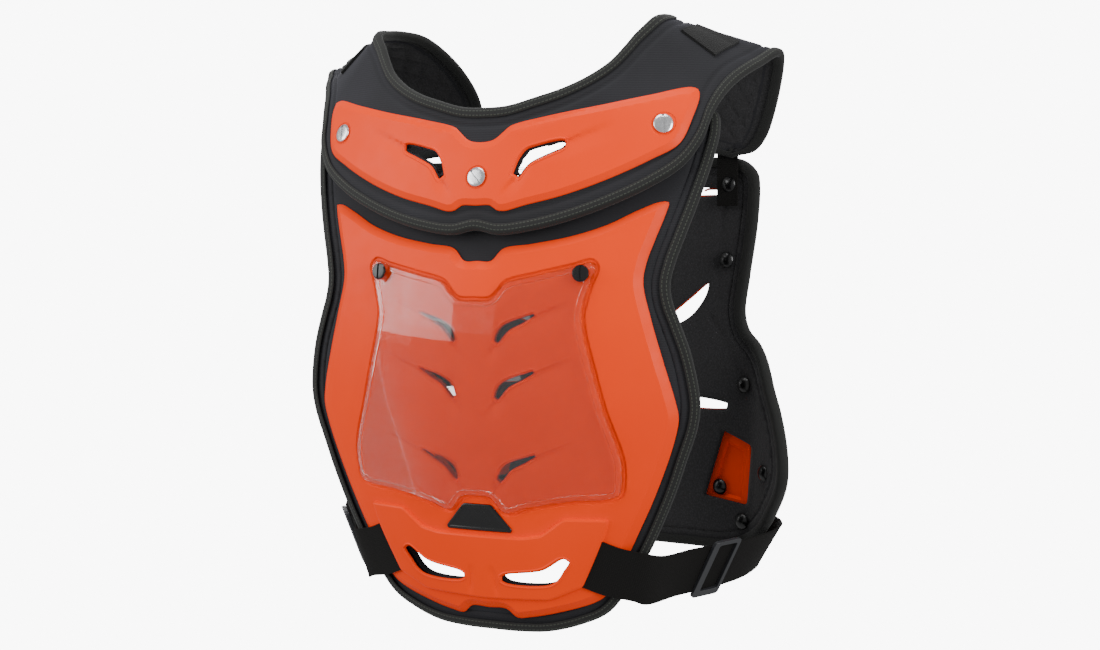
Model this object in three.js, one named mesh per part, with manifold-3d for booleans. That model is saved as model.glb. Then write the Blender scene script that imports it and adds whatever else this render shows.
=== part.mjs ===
// Roost deflector: a padded chest and back protector with moulded shields, in millimetres.
// +Z is up and +X is the wearer's left. The front faces -Y.
// The origin is the shoulder seat, midway between the two straps where they rest on the shoulders.

import * as THREE from 'three';
import { mergeVertices } from 'three/addons/utils/BufferGeometryUtils.js';
import Module from 'manifold-3d';

const wasm = await Module();
wasm.setup();

// Body form: where the chest and back faces lie, seen from the shoulder seat
const CHEST_FORWARD = 105;      // seat to the middle of the chest face, before its profile is added
const CHEST_BULGE = 30;         // depth of the up and down profile of the chest
const ROUND_SPAN = 100;         // distance off the middle at which the roundness is measured
const CHEST_ROUND = 12;         // how far the chest face falls back there
const CHEST_TOP = 35;           // top of the profile above the seat
const CHEST_DROP = 575;         // length of the profile
const BACK_BEHIND = 133;        // seat to the middle of the back face
const BACK_ROUND = 9;           // how far the back face comes forward there
const WING_CREASE = 198;        // half-width where the side wings of the back fold forward
const WING_SLOPE = 0.8;         // forward fall of the wings for each millimetre outward
const WING_TOP = 240;           // the wings begin this far below the seat
const WING_FULL = 300;          // and have their full slope from here down
const CHEST_CELL = 33;          // width of the flat strips that the curved faces are made of
const BACK_STRIPS = 6;          // strips from the middle of the back to the crease
const BACK_CELL = WING_CREASE / BACK_STRIPS;

// Pads
const CHEST_PAD_WIDTH = 406;
const CHEST_PAD_HEIGHT = 470;
const CHEST_PAD_BOTTOM = 530;   // below the seat
const CHEST_PAD_THICKNESS = 7;
const BACK_PAD_WIDTH = 482;
const BACK_PAD_HEIGHT = 381;
const BACK_PAD_BOTTOM = 479;
const BACK_PAD_THICKNESS = 7;
const YOKE_REACH = 237;         // half-width over the shoulder tips
const YOKE_DEPTH = 112;         // seat to the rear of the flaps
const YOKE_HEIGHT = 197;        // lowest edge of the yoke to the shoulder ridge
const YOKE_RIDGE = 27;          // ridge above the seat
const YOKE_PAD_THICKNESS = 4.5;
const UNDERLAP_GAP = 6.6;       // the bound edges of the yoke and of the chest pad cross here

// Edge binding, a folded tape
const TAPE_THICKNESS = 1;
const TAPE_COVER = 7.5;         // how far the tape reaches over each face

// Moulded shields
const CHEST_SIDE_MARGIN = 26;   // from the widest edge of the chest pad to that of its shield
const CHEST_TOP_MARGIN = 83;
const CHEST_LOW_MARGIN = 12;
const CHEST_PLATE_WIDTH = CHEST_PAD_WIDTH - 2 * CHEST_SIDE_MARGIN;
const CHEST_PLATE_HEIGHT = CHEST_PAD_HEIGHT - CHEST_TOP_MARGIN - CHEST_LOW_MARGIN;
const CHEST_PLATE_BOTTOM = CHEST_PAD_BOTTOM - CHEST_LOW_MARGIN;
const CHEST_PLATE_THICKNESS = 2.7;
const BELLY_RISE = 4.5;         // the belly panel stands this far in front of its flange
const BELLY_TOP = 0.207;        // share of the shield's height at which it ends
const BADGE_ABOVE_BELLY = 4.4;
const BADGE_BOTTOM = CHEST_PLATE_BOTTOM - BELLY_TOP * CHEST_PLATE_HEIGHT - BADGE_ABOVE_BELLY;
const YOKE_PLATE_WIDTH = 368;
const YOKE_PLATE_HEIGHT = 108;
const YOKE_PLATE_BOTTOM = 151;
const YOKE_PLATE_THICKNESS = 2.4;
const BACK_SIDE_MARGIN = 41;    // from the widest edge of the back pad to that of its shield
const BACK_TOP_MARGIN = 14;
const BACK_LOW_MARGIN = 17;
const BACK_PLATE_WIDTH = BACK_PAD_WIDTH - 2 * BACK_SIDE_MARGIN;
const BACK_PLATE_HEIGHT = BACK_PAD_HEIGHT - BACK_TOP_MARGIN - BACK_LOW_MARGIN;
const BACK_PLATE_BOTTOM = BACK_PAD_BOTTOM - BACK_LOW_MARGIN;
const BACK_PLATE_THICKNESS = 2.7;

// Clear window over the chest shield
const WINDOW_WIDTH = 262;
const WINDOW_HEIGHT = 223;
const WINDOW_ABOVE_BADGE = 18;  // from the badge's bottom edge to the window's
const WINDOW_BOTTOM = BADGE_BOTTOM - WINDOW_ABOVE_BADGE;
const WINDOW_THICKNESS = 1.8;
const WINDOW_STANDOFF = 4.6;
const WINDOW_RIM = 5;

// Vents, cut through shield and pad alike
const YOKE_VENT_INNER = 34;
const YOKE_VENT_REACH = 45;
const YOKE_VENT_RISE = 33;
const YOKE_VENT_BOTTOM = 123;
const CHEST_VENT_INNER = 19;
const CHEST_VENT_REACH = 39;
const CHEST_VENT_RISE = 29;
const CHEST_VENT_BOTTOMS = [269, 319, 393];
const BELLY_VENT_INNER = 18;
const BELLY_VENT_REACH = 63;
const BELLY_VENT_RISE = 25;
const BELLY_VENT_BOTTOM = 483;
const PAD_VENT_MARGIN = 1.12;   // the foam opens a little wider than the shield in front of it

// Waist strap and its sliders
const STRAP_WIDTH = 48;
const STRAP_THICKNESS = 1.8;
const SLIDER_LENGTH = 29;
const SLIDER_HEIGHT = 58;
const SLIDER_RAIL = 6;
const SLIDER_BAR = 3;

// Fasteners
const YOKE_SCREW_HEAD = 17.5;
const YOKE_SCREW_HEIGHT = 2.2;
const YOKE_SCREW_RECESS = 0.9;
const YOKE_SCREW_OUT = 159;
const YOKE_SCREW_DROP = 76;
const YOKE_SCREW_LOW_DROP = 121;
const WINDOW_SCREW_HEAD = 15;
const WINDOW_SCREW_HEIGHT = 2.4;
const WINDOW_SCREW_SHANK = 6;
const WINDOW_SCREW_MARGIN = 33; // from the widest edge of the window
const WINDOW_SCREW_BELOW = 10;  // from the top of the window
const WINDOW_SCREW_OUT = WINDOW_WIDTH / 2 - WINDOW_SCREW_MARGIN;
const WINDOW_SCREW_DROP = WINDOW_BOTTOM - WINDOW_HEIGHT + WINDOW_SCREW_BELOW;
const SLOT_WIDTH = 1.6;
const SLOT_DEPTH = 1;
const RIVET_HEAD = 16;
const RIVET_HEIGHT = 4.5;

// Badge, shoulder patches and the tabs that join the flaps to the back
const BADGE_WIDTH = 66;
const BADGE_HEIGHT = 25;
const BADGE_THICKNESS = 2.5;
const PATCH_THICKNESS = 1.6;
const TAB_WIDTH = 22;
const TAB_LENGTH = 72;
const TAB_THICKNESS = 1.6;
const TAB_MARGIN = 71;          // from the widest edge of the back pad
const TAB_OUT = BACK_PAD_WIDTH / 2 - TAB_MARGIN;
const TAB_SINK = 2.2;           // room for the bound edge between the tab and the back pad
const TAB_TOP = 72;             // top of the tab below the seat

// Fits
const GAP = 0.35;               // between pieces that touch
const FACE_GAP = 0.6;           // between curved pieces whose grids differ

// Profile of the chest: drop is the share of the length below its top,
// back is the share of the bulge that the face lies behind its middle value,
// and round multiplies the roundness.
const CHEST_PROFILE = [
  { drop: 0.000, back: 1.70, round: 1.50 },
  { drop: 0.061, back: 1.30, round: 1.46 },
  { drop: 0.113, back: 1.03, round: 1.36 },
  { drop: 0.157, back: 0.83, round: 1.17 },
  { drop: 0.200, back: 0.68, round: 1.02 },
  { drop: 0.304, back: 0.27, round: 0.91 },
  { drop: 0.426, back: -0.10, round: 0.87 },
  { drop: 0.530, back: -0.22, round: 0.90 },
  { drop: 0.635, back: -0.21, round: 0.98 },
  { drop: 0.739, back: -0.03, round: 1.12 },
  { drop: 0.843, back: 0.25, round: 1.29 },
  { drop: 0.913, back: 0.55, round: 1.44 },
  { drop: 1.000, back: 0.97, round: 1.65 },
];

// Half outlines, from the middle of the top edge round the wearer's left to the middle of the
// bottom edge: out is the share of the half-width, up the share of the height.
const CHEST_PAD_OUTLINE = [
  { out: 0.000, up: 0.809 }, { out: 0.150, up: 0.811 }, { out: 0.300, up: 0.817 },
  { out: 0.430, up: 0.840 }, { out: 0.550, up: 0.880 }, { out: 0.660, up: 0.928 },
  { out: 0.780, up: 0.979 }, { out: 0.890, up: 1.000 }, { out: 0.962, up: 0.985 },
  { out: 0.978, up: 0.955 }, { out: 0.962, up: 0.900 }, { out: 0.915, up: 0.817 },
  { out: 0.880, up: 0.766 }, { out: 0.842, up: 0.711 }, { out: 0.826, up: 0.672 },
  { out: 0.836, up: 0.640 }, { out: 0.868, up: 0.601 }, { out: 0.912, up: 0.544 },
  { out: 0.941, up: 0.480 }, { out: 0.946, up: 0.444 }, { out: 0.932, up: 0.406 },
  { out: 0.888, up: 0.350 }, { out: 0.829, up: 0.278 }, { out: 0.717, up: 0.170 },
  { out: 0.600, up: 0.085 }, { out: 0.522, up: 0.045 }, { out: 0.410, up: 0.021 },
  { out: 0.270, up: 0.004 }, { out: 0.140, up: 0.000 }, { out: 0.000, up: 0.000 },
];
const BACK_PAD_OUTLINE = [
  { out: 0.000, up: 0.911 }, { out: 0.171, up: 0.921 }, { out: 0.332, up: 0.969 },
  { out: 0.436, up: 0.995 }, { out: 0.622, up: 1.000 }, { out: 0.767, up: 0.990 },
  { out: 0.820, up: 0.961 }, { out: 0.830, up: 0.932 }, { out: 0.822, up: 0.837 },
  { out: 0.788, up: 0.698 }, { out: 0.770, up: 0.610 }, { out: 0.790, up: 0.565 },
  { out: 0.842, up: 0.530 }, { out: 0.884, up: 0.486 }, { out: 0.919, up: 0.425 },
  { out: 0.959, up: 0.367 }, { out: 0.995, up: 0.280 }, { out: 0.996, up: 0.205 },
  { out: 0.942, up: 0.125 }, { out: 0.863, up: 0.055 }, { out: 0.755, up: 0.013 },
  { out: 0.500, up: 0.000 }, { out: 0.000, up: 0.000 },
];
const CHEST_PLATE_OUTLINE = [
  { out: 0.000, up: 0.862 }, { out: 0.073, up: 0.862 }, { out: 0.136, up: 0.891 },
  { out: 0.282, up: 0.902 }, { out: 0.480, up: 0.915 }, { out: 0.650, up: 0.936 },
  { out: 0.790, up: 0.968 }, { out: 0.893, up: 0.997 }, { out: 0.932, up: 1.000 },
  { out: 0.921, up: 0.975 }, { out: 0.881, up: 0.912 }, { out: 0.847, up: 0.859 },
  { out: 0.836, up: 0.814 }, { out: 0.876, up: 0.731 }, { out: 0.932, up: 0.636 },
  { out: 0.989, up: 0.537 }, { out: 1.000, up: 0.500 }, { out: 0.977, up: 0.447 },
  { out: 0.910, up: 0.356 }, { out: 0.825, up: 0.261 }, { out: 0.618, up: 0.072 },
  { out: 0.560, up: 0.050 }, { out: 0.367, up: 0.019 }, { out: 0.215, up: 0.003 },
  { out: 0.153, up: 0.000 }, { out: 0.096, up: 0.021 }, { out: 0.000, up: 0.021 },
];
const YOKE_PLATE_OUTLINE = [
  { out: 0.000, up: 0.565 }, { out: 0.065, up: 0.583 }, { out: 0.114, up: 0.648 },
  { out: 0.147, up: 0.694 }, { out: 0.326, up: 0.769 }, { out: 0.571, up: 0.852 },
  { out: 0.788, up: 0.935 }, { out: 0.957, up: 1.000 }, { out: 0.989, up: 0.981 },
  { out: 1.000, up: 0.917 }, { out: 0.984, up: 0.750 }, { out: 0.940, up: 0.537 },
  { out: 0.821, up: 0.407 }, { out: 0.620, up: 0.241 }, { out: 0.424, up: 0.120 },
  { out: 0.250, up: 0.046 }, { out: 0.147, up: 0.000 }, { out: 0.109, up: 0.009 },
  { out: 0.076, up: 0.046 }, { out: 0.000, up: 0.046 },
];
const BACK_PLATE_OUTLINE = [
  { out: 0.000, up: 0.863 }, { out: 0.150, up: 0.869 }, { out: 0.300, up: 0.915 },
  { out: 0.600, up: 0.940 }, { out: 0.860, up: 0.975 }, { out: 0.920, up: 0.955 },
  { out: 0.920, up: 0.850 }, { out: 0.890, up: 0.750 }, { out: 0.855, up: 0.620 },
  { out: 0.845, up: 0.577 }, { out: 0.885, up: 0.506 }, { out: 0.960, up: 0.391 },
  { out: 0.975, up: 0.320 }, { out: 0.970, up: 0.106 }, { out: 0.920, up: 0.026 },
  { out: 0.800, up: 0.000 }, { out: 0.000, up: 0.000 },
];
const WINDOW_OUTLINE = [
  { out: 0.000, up: 0.848 }, { out: 0.122, up: 0.852 }, { out: 0.183, up: 0.883 },
  { out: 0.229, up: 0.915 }, { out: 0.458, up: 0.951 }, { out: 0.687, up: 0.982 },
  { out: 0.809, up: 1.000 }, { out: 0.840, up: 0.978 }, { out: 0.809, up: 0.924 },
  { out: 0.771, up: 0.843 }, { out: 0.755, up: 0.789 }, { out: 0.771, up: 0.717 },
  { out: 0.832, up: 0.574 }, { out: 0.901, up: 0.417 }, { out: 0.977, up: 0.283 },
  { out: 1.000, up: 0.224 }, { out: 1.000, up: 0.148 }, { out: 0.969, up: 0.085 },
  { out: 0.656, up: 0.058 }, { out: 0.382, up: 0.027 }, { out: 0.206, up: 0.000 },
  { out: 0.107, up: 0.058 }, { out: 0.000, up: 0.063 },
];
const BADGE_OUTLINE = [
  { out: 0.00, up: 1.00 }, { out: 0.38, up: 1.00 }, { out: 0.46, up: 0.93 },
  { out: 0.98, up: 0.12 }, { out: 0.94, up: 0.00 }, { out: 0.00, up: 0.00 },
];
// The raised belly panel, as shares of the chest shield
const BELLY_OUTLINE = [
  { out: 0.000, up: BELLY_TOP }, { out: 0.237, up: BELLY_TOP }, { out: 0.333, up: 0.215 },
  { out: 0.452, up: 0.258 }, { out: 0.660, up: 0.258 }, { out: 0.627, up: BELLY_TOP },
  { out: 0.514, up: 0.091 }, { out: 0.345, up: 0.055 }, { out: 0.000, up: 0.050 },
];

// Vent outlines: out is the share of the vent's reach from its inner end, up of its rise
const CHEST_VENT_OUTLINE = [
  { out: 1.00, up: 1.00 }, { out: 0.66, up: 0.87 }, { out: 0.38, up: 0.74 }, { out: 0.18, up: 0.60 },
  { out: 0.06, up: 0.42 }, { out: 0.00, up: 0.05 }, { out: 0.08, up: 0.08 }, { out: 0.36, up: 0.48 },
  { out: 0.66, up: 0.70 },
];
const YOKE_VENT_OUTLINE = [
  { out: 0.96, up: 1.00 }, { out: 1.00, up: 0.91 }, { out: 0.96, up: 0.82 }, { out: 0.67, up: 0.64 },
  { out: 0.31, up: 0.39 }, { out: 0.07, up: 0.00 }, { out: 0.00, up: 0.06 }, { out: 0.04, up: 0.32 },
  { out: 0.12, up: 0.58 }, { out: 0.24, up: 0.78 }, { out: 0.40, up: 0.86 },
];
const BELLY_VENT_OUTLINE = [
  { out: 0.94, up: 1.00 }, { out: 1.00, up: 0.88 }, { out: 0.92, up: 0.56 }, { out: 0.82, up: 0.20 },
  { out: 0.68, up: 0.00 }, { out: 0.06, up: 0.00 }, { out: 0.00, up: 0.14 }, { out: 0.06, up: 0.28 },
  { out: 0.62, up: 0.54 },
];
// Openings of the back: across and up are shares of the back pad's half-width and height
const BACK_SLITS = [
  [{ out: 0.498, up: 0.923 }, { out: 0.680, up: 0.921 }, { out: 0.690, up: 0.916 },
    { out: 0.680, up: 0.911 }, { out: 0.498, up: 0.909 }],
  [{ out: 0.610, up: 0.682 }, { out: 0.602, up: 0.655 }, { out: 0.545, up: 0.605 },
    { out: 0.480, up: 0.578 }, { out: 0.400, up: 0.566 }, { out: 0.400, up: 0.585 },
    { out: 0.450, up: 0.606 }, { out: 0.520, up: 0.640 }],
  [{ out: 0.460, up: 0.382 }, { out: 0.710, up: 0.374 }, { out: 0.715, up: 0.367 },
    { out: 0.700, up: 0.362 }, { out: 0.460, up: 0.366 }],
];
const BACK_PAD_WINDOWS = [
  [{ out: 0.690, up: 0.304 }, { out: 0.815, up: 0.274 }, { out: 0.795, up: 0.122 },
    { out: 0.606, up: 0.134 }],
  [{ out: 0.158, up: 0.307 }, { out: 0.266, up: 0.286 }, { out: 0.266, up: 0.202 },
    { out: 0.183, up: 0.212 }],
];

// Cross lines of the yoke pad, from the middle of the chest over the shoulder to the end of the
// flap. Each runs from the neck edge to the outer edge. out is the share of YOKE_REACH, back of
// YOKE_DEPTH behind the seat, up of YOKE_HEIGHT above the lowest edge, and hug how closely the
// line follows the chest face.
const YOKE_LINES = [
  { neckOut: 0.000, neckBack: -0.80, neckUp: 0.558, edgeOut: 0.000, edgeBack: -0.94, edgeUp: 0.020, hug: 1 },
  { neckOut: 0.095, neckBack: -0.79, neckUp: 0.565, edgeOut: 0.095, edgeBack: -0.94, edgeUp: 0.000, hug: 1 },
  { neckOut: 0.200, neckBack: -0.75, neckUp: 0.600, edgeOut: 0.225, edgeBack: -0.92, edgeUp: 0.020, hug: 1 },
  { neckOut: 0.300, neckBack: -0.67, neckUp: 0.640, edgeOut: 0.360, edgeBack: -0.87, edgeUp: 0.062, hug: 1 },
  { neckOut: 0.390, neckBack: -0.60, neckUp: 0.695, edgeOut: 0.500, edgeBack: -0.80, edgeUp: 0.125, hug: 1 },
  { neckOut: 0.460, neckBack: -0.55, neckUp: 0.760, edgeOut: 0.635, edgeBack: -0.70, edgeUp: 0.205, hug: 1 },
  { neckOut: 0.505, neckBack: -0.51, neckUp: 0.830, edgeOut: 0.745, edgeBack: -0.58, edgeUp: 0.300, hug: 1 },
  { neckOut: 0.535, neckBack: -0.47, neckUp: 0.885, edgeOut: 0.803, edgeBack: -0.46, edgeUp: 0.415, hug: 1 },
  { neckOut: 0.565, neckBack: -0.36, neckUp: 0.930, edgeOut: 0.828, edgeBack: -0.30, edgeUp: 0.540, hug: 1 },
  { neckOut: 0.590, neckBack: -0.22, neckUp: 0.970, edgeOut: 0.873, edgeBack: -0.12, edgeUp: 0.665, hug: 0.5 },
  { neckOut: 0.598, neckBack: -0.05, neckUp: 0.993, edgeOut: 0.950, edgeBack: 0.14, edgeUp: 0.775, hug: 0 },
  { neckOut: 0.575, neckBack: 0.12, neckUp: 1.000, edgeOut: 0.995, edgeBack: 0.36, edgeUp: 0.835, hug: 0 },
  { neckOut: 0.520, neckBack: 0.27, neckUp: 0.985, edgeOut: 0.985, edgeBack: 0.49, edgeUp: 0.795, hug: 0 },
  { neckOut: 0.460, neckBack: 0.47, neckUp: 0.910, edgeOut: 0.960, edgeBack: 0.60, edgeUp: 0.695, hug: 0 },
  { neckOut: 0.415, neckBack: 0.65, neckUp: 0.810, edgeOut: 0.925, edgeBack: 0.69, edgeUp: 0.570, hug: 0 },
  { neckOut: 0.392, neckBack: 0.82, neckUp: 0.690, edgeOut: 0.885, edgeBack: 0.75, edgeUp: 0.460, hug: 0 },
  { neckOut: 0.388, neckBack: 0.89, neckUp: 0.560, edgeOut: 0.835, edgeBack: 0.78, edgeUp: 0.395, hug: 0 },
  { neckOut: 0.420, neckBack: 0.90, neckUp: 0.450, edgeOut: 0.745, edgeBack: 0.810, edgeUp: 0.372, hug: 0 },
];
const YOKE_STEPS = YOKE_LINES.length - 1;   // grid of each half along the strap
const YOKE_COLUMNS = 6;                     // and across it

const PATCH_LINES = [9.3, 10, 10.4];         // where the shoulder patch lies, in those lines
const PATCH_COLUMNS = [0.27, 0.5, 0.68];    // and as shares across them

// Route of the waist strap from inside the belly panel to the back shield. out and up are places
// of the upper edge as shares of the back pad's half-width and of the chest pad's height, and lean
// is how far the lower edge lies inward as a share of the strap's width. The strap rests on the
// chest shield, then on the back shield, and between them back is its place behind the seat as
// a share of BACK_BEHIND.
const STRAP_ROUTE = [
  { out: 0.420, up: 0.200, lean: 0.42, rests: 'chest' },
  { out: 0.460, up: 0.191, lean: 0.41, rests: 'chest' },
  { out: 0.520, up: 0.178, lean: 0.37, rests: 'chest' },
  { out: 0.608, up: 0.167, lean: 0.34, rests: 'chest' },
  { out: 0.644, up: 0.159, lean: 0.34, back: -0.41 },
  { out: 0.722, up: 0.163, lean: 0.37, back: -0.17 },
  { out: 0.832, up: 0.168, lean: 0.42, back: 0.06 },
  { out: 0.915, up: 0.174, lean: 0.46, back: 0.31 },
  { out: 0.947, up: 0.178, lean: 0.50, back: 0.50 },
  { out: 0.942, up: 0.182, lean: 0.48, back: 0.64 },
  { out: 0.908, up: 0.186, lean: 0.42, back: 0.745 },
  { out: 0.835, up: 0.188, lean: 0.30, back: 0.815 },
  { out: 0.710, up: 0.190, lean: 0.20, rests: 'back' },
];
const STRAP_STEPS = 24;
const STRAP_POCKET_STEPS = 7;   // steps of the route that the belly panel and its flange make room for
const SLIDER_PLACE = 0.485;     // where on its route the slider sits

// Route of the tab: down is the share of its length, sink how far it lies inside the pad's face
const TAB_ROUTE = [
  { down: 0.00, sink: 0.3 }, { down: 0.24, sink: 1.0 }, { down: 0.36, sink: 1 }, { down: 1.00, sink: 1 },
];

// Rivets on the inner side of the back, as shares of the back pad, with the layer they sit on
const RIVETS = [
  { name: 'rivet_tab', out: 0.710, up: 0.934, seat: 'tab' },
  { name: 'rivet_shoulder', out: 0.697, up: 0.743, seat: 'pad' },
  { name: 'rivet_side', out: 0.780, up: 0.428, seat: 'pad' },
  { name: 'rivet_opening', out: 0.664, up: 0.157, seat: 'plate' },
  { name: 'rivet_wing', out: 0.885, up: 0.215, seat: 'pad' },
  { name: 'rivet_waist', out: 0.775, up: 0.079, seat: 'pad' },
];

// Finishes
const orange = () => new THREE.MeshStandardMaterial({ color: 0xf4581c, roughness: 0.42, metalness: 0 });
const blackFoam = () => new THREE.MeshStandardMaterial({ color: 0x23232a, roughness: 0.9, metalness: 0 });
const tape = () => new THREE.MeshStandardMaterial({ color: 0x3a3c38, roughness: 0.85, metalness: 0 });
const webbing = () => new THREE.MeshStandardMaterial({ color: 0x1f1c1a, roughness: 0.9, metalness: 0 });
const blackPlastic = () => new THREE.MeshStandardMaterial({ color: 0x151517, roughness: 0.35, metalness: 0 });
const steel = () => new THREE.MeshStandardMaterial({ color: 0xd8d9db, roughness: 0.28, metalness: 1 });
const clear = () => new THREE.MeshStandardMaterial({
  color: 0xffffff, roughness: 0.05, metalness: 0, transparent: true, opacity: 0.25,
});

// Straight lines through rows of numbers
function column(rows, position, value) {
  return (at) => {
    let i = 0;
    while (i < rows.length - 2 && at > rows[i + 1][position]) i += 1;
    const [a, b] = [rows[i], rows[i + 1]];
    return THREE.MathUtils.mapLinear(at, a[position], b[position], a[value], b[value]);
  };
}
const chestBack = column(CHEST_PROFILE, 'drop', 'back');
const chestRound = column(CHEST_PROFILE, 'drop', 'round');

// Smooth body form, front and back
function chestForm(x, z) {
  const drop = (CHEST_TOP - z) / CHEST_DROP;
  const middle = -CHEST_FORWARD + CHEST_BULGE * chestBack(drop);
  return middle + CHEST_ROUND * chestRound(drop) * (x / ROUND_SPAN) ** 2;
}
function backForm(x, z) {
  const wing = Math.max(0, Math.abs(x) - WING_CREASE);
  const share = THREE.MathUtils.clamp((-WING_TOP - z) / (WING_FULL - WING_TOP), 0, 1);
  return BACK_BEHIND - BACK_ROUND * (x / ROUND_SPAN) ** 2 - WING_SLOPE * share * wing;
}

// Faces made of flat triangles over the form, the same for every layer that lies on it.
// The diagonals are mirrored, and a positive lift goes away from the wearer.
function facets(form, cell, rows, away) {
  const face = (x, z, lift) => {
    const across = Math.abs(x) / cell;
    const inner = Math.floor(across);
    let row = 0;
    while (row < rows.length - 2 && z > rows[row + 1]) row += 1;
    const u = across - inner;
    const v = (z - rows[row]) / (rows[row + 1] - rows[row]);
    const at = (i, j) => form((inner + i) * cell, rows[row + j]);
    const low = u > v ? at(0, 0) + u * (at(1, 0) - at(0, 0)) : at(0, 0) + v * (at(0, 1) - at(0, 0));
    const high = u > v ? v * (at(1, 1) - at(1, 0)) : u * (at(1, 1) - at(0, 1));
    return low + high + away * lift;
  };
  return Object.assign(face, { cell, rows });
}
const chestRows = CHEST_PROFILE.map((row) => CHEST_TOP - row.drop * CHEST_DROP).reverse();
const backRows = [-BACK_PAD_BOTTOM - CHEST_CELL, -WING_FULL, -WING_TOP, 0];
const chestFace = facets(chestForm, CHEST_CELL, chestRows, -1);
const backFace = facets(backForm, BACK_CELL, backRows, 1);

// Direction straight out of a face
function outward(face, x, z, side) {
  const step = 1;
  const slopeX = (face(x + step, z, 0) - face(x - step, z, 0)) / (2 * step);
  const slopeZ = (face(x, z + step, 0) - face(x, z - step, 0)) / (2 * step);
  return new THREE.Vector3(-slopeX, 1, -slopeZ).normalize().multiplyScalar(side);
}

// Solids from geometry and back
function solid(geometry) {
  const bare = new THREE.BufferGeometry();
  bare.setAttribute('position', geometry.getAttribute('position'));
  if (geometry.index) bare.setIndex(geometry.index);
  const merged = mergeVertices(bare, 1e-4);
  return new wasm.Manifold(new wasm.Mesh({
    numProp: 3,
    vertProperties: new Float32Array(merged.getAttribute('position').array),
    triVerts: new Uint32Array(merged.index.array),
  }));
}
function geometryOf(body) {
  const mesh = body.getMesh();
  const geometry = new THREE.BufferGeometry();
  geometry.setAttribute('position', new THREE.BufferAttribute(new Float32Array(mesh.vertProperties), 3));
  geometry.setIndex(new THREE.BufferAttribute(new Uint32Array(mesh.triVerts), 1));
  return geometry;
}

// Closed skin over rings of points that run round a tube, shut by a cap at each end or looped.
// The diagonals are mirrored about the middle of the body.
function skin(rings, { looped = false } = {}) {
  const count = rings[0].length;
  const positions = rings.flat().flatMap((p) => [p.x, p.y, p.z]);
  const index = [];
  const last = looped ? rings.length : rings.length - 1;
  for (let i = 0; i < last; i += 1) {
    const here = i * count;
    const next = ((i + 1) % rings.length) * count;
    const mirrored = rings[i][0].x + rings[(i + 1) % rings.length][0].x > 0;
    for (let j = 0; j < count; j += 1) {
      const k = (j + 1) % count;
      if (mirrored) index.push(here + j, next + j, here + k, next + j, next + k, here + k);
      else index.push(here + j, next + j, next + k, here + j, next + k, here + k);
    }
  }
  if (!looped) {
    const end = (rings.length - 1) * count;
    for (let j = 1; j < count - 1; j += 1) {
      index.push(0, j, j + 1);
      index.push(end, end + j + 1, end + j);
    }
  }
  const geometry = new THREE.BufferGeometry();
  geometry.setAttribute('position', new THREE.Float32BufferAttribute(positions, 3));
  geometry.setIndex(index);
  return facingOut(geometry);
}
// Turns the triangles round where a skin came out inside out
function facingOut(geometry) {
  const p = geometry.getAttribute('position');
  const index = geometry.index.array;
  const [a, b, c] = [new THREE.Vector3(), new THREE.Vector3(), new THREE.Vector3()];
  let volume = 0;
  for (let i = 0; i < index.length; i += 3) {
    a.fromBufferAttribute(p, index[i]);
    b.fromBufferAttribute(p, index[i + 1]);
    c.fromBufferAttribute(p, index[i + 2]);
    volume += a.dot(b.cross(c));
  }
  if (volume < 0) {
    for (let i = 0; i < index.length; i += 3) [index[i + 1], index[i + 2]] = [index[i + 2], index[i + 1]];
  }
  return geometry;
}

// Curved slab between two lifts of a face, on a grid that all slabs of that face share
function slab(face, halfWidth, bottom, top, low, high) {
  const columns = Math.ceil((halfWidth + 2) / face.cell);
  const lines = [];
  for (let i = -columns; i <= columns; i += 1) lines.push(i * face.cell);
  const first = Math.max(0, face.rows.findIndex((z) => z > bottom - 2) - 1);
  const above = face.rows.findIndex((z) => z > top + 2);
  const rings = [];
  for (const z of face.rows.slice(first, above < 0 ? undefined : above + 1)) {
    const inner = lines.map((x) => new THREE.Vector3(x, face(x, z, low), z));
    const outer = lines.map((x) => new THREE.Vector3(x, face(x, z, high), z));
    rings.push([...inner, ...outer.reverse()]);
  }
  return solid(latticeSkin(rings, lines.length, (ring, cell) => cell < columns));
}
// As skin, with the same diagonal on the inner and the outer face. The diagonals turn where
// mirrored says so, which keeps the two sides of the body mirror images.
function latticeSkin(rings, across, mirrored) {
  const count = 2 * across;
  const positions = rings.flat().flatMap((p) => [p.x, p.y, p.z]);
  const index = [];
  const quad = (a, b, c, d, flip) => {
    if (flip) index.push(a, b, d, b, c, d);
    else index.push(a, b, c, a, c, d);
  };
  for (let i = 0; i < rings.length - 1; i += 1) {
    for (let j = 0; j < count; j += 1) {
      const k = (j + 1) % count;
      const cell = j < across ? j : count - 2 - j;
      const flip = (j >= across) !== mirrored(i, cell);
      quad(i * count + j, (i + 1) * count + j, (i + 1) * count + k, i * count + k, flip);
    }
  }
  const end = (rings.length - 1) * count;
  for (let j = 0; j < across - 1; j += 1) {
    quad(j, j + 1, count - 2 - j, count - 1 - j, false);
    quad(end + j, end + count - 1 - j, end + count - 2 - j, end + j + 1, false);
  }
  const geometry = new THREE.BufferGeometry();
  geometry.setAttribute('position', new THREE.Float32BufferAttribute(positions, 3));
  geometry.setIndex(index);
  return facingOut(geometry);
}

// Outlines as points across (x) and up (z)
function halfOutline(rows, width, height, bottom) {
  return rows.map(({ out, up }) => new THREE.Vector2(out * width / 2, up * height - bottom));
}
function mirrored(half) {
  const other = half.filter((p) => p.x > 0.01).map((p) => new THREE.Vector2(-p.x, p.y));
  return [...half, ...other.reverse()];
}
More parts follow.
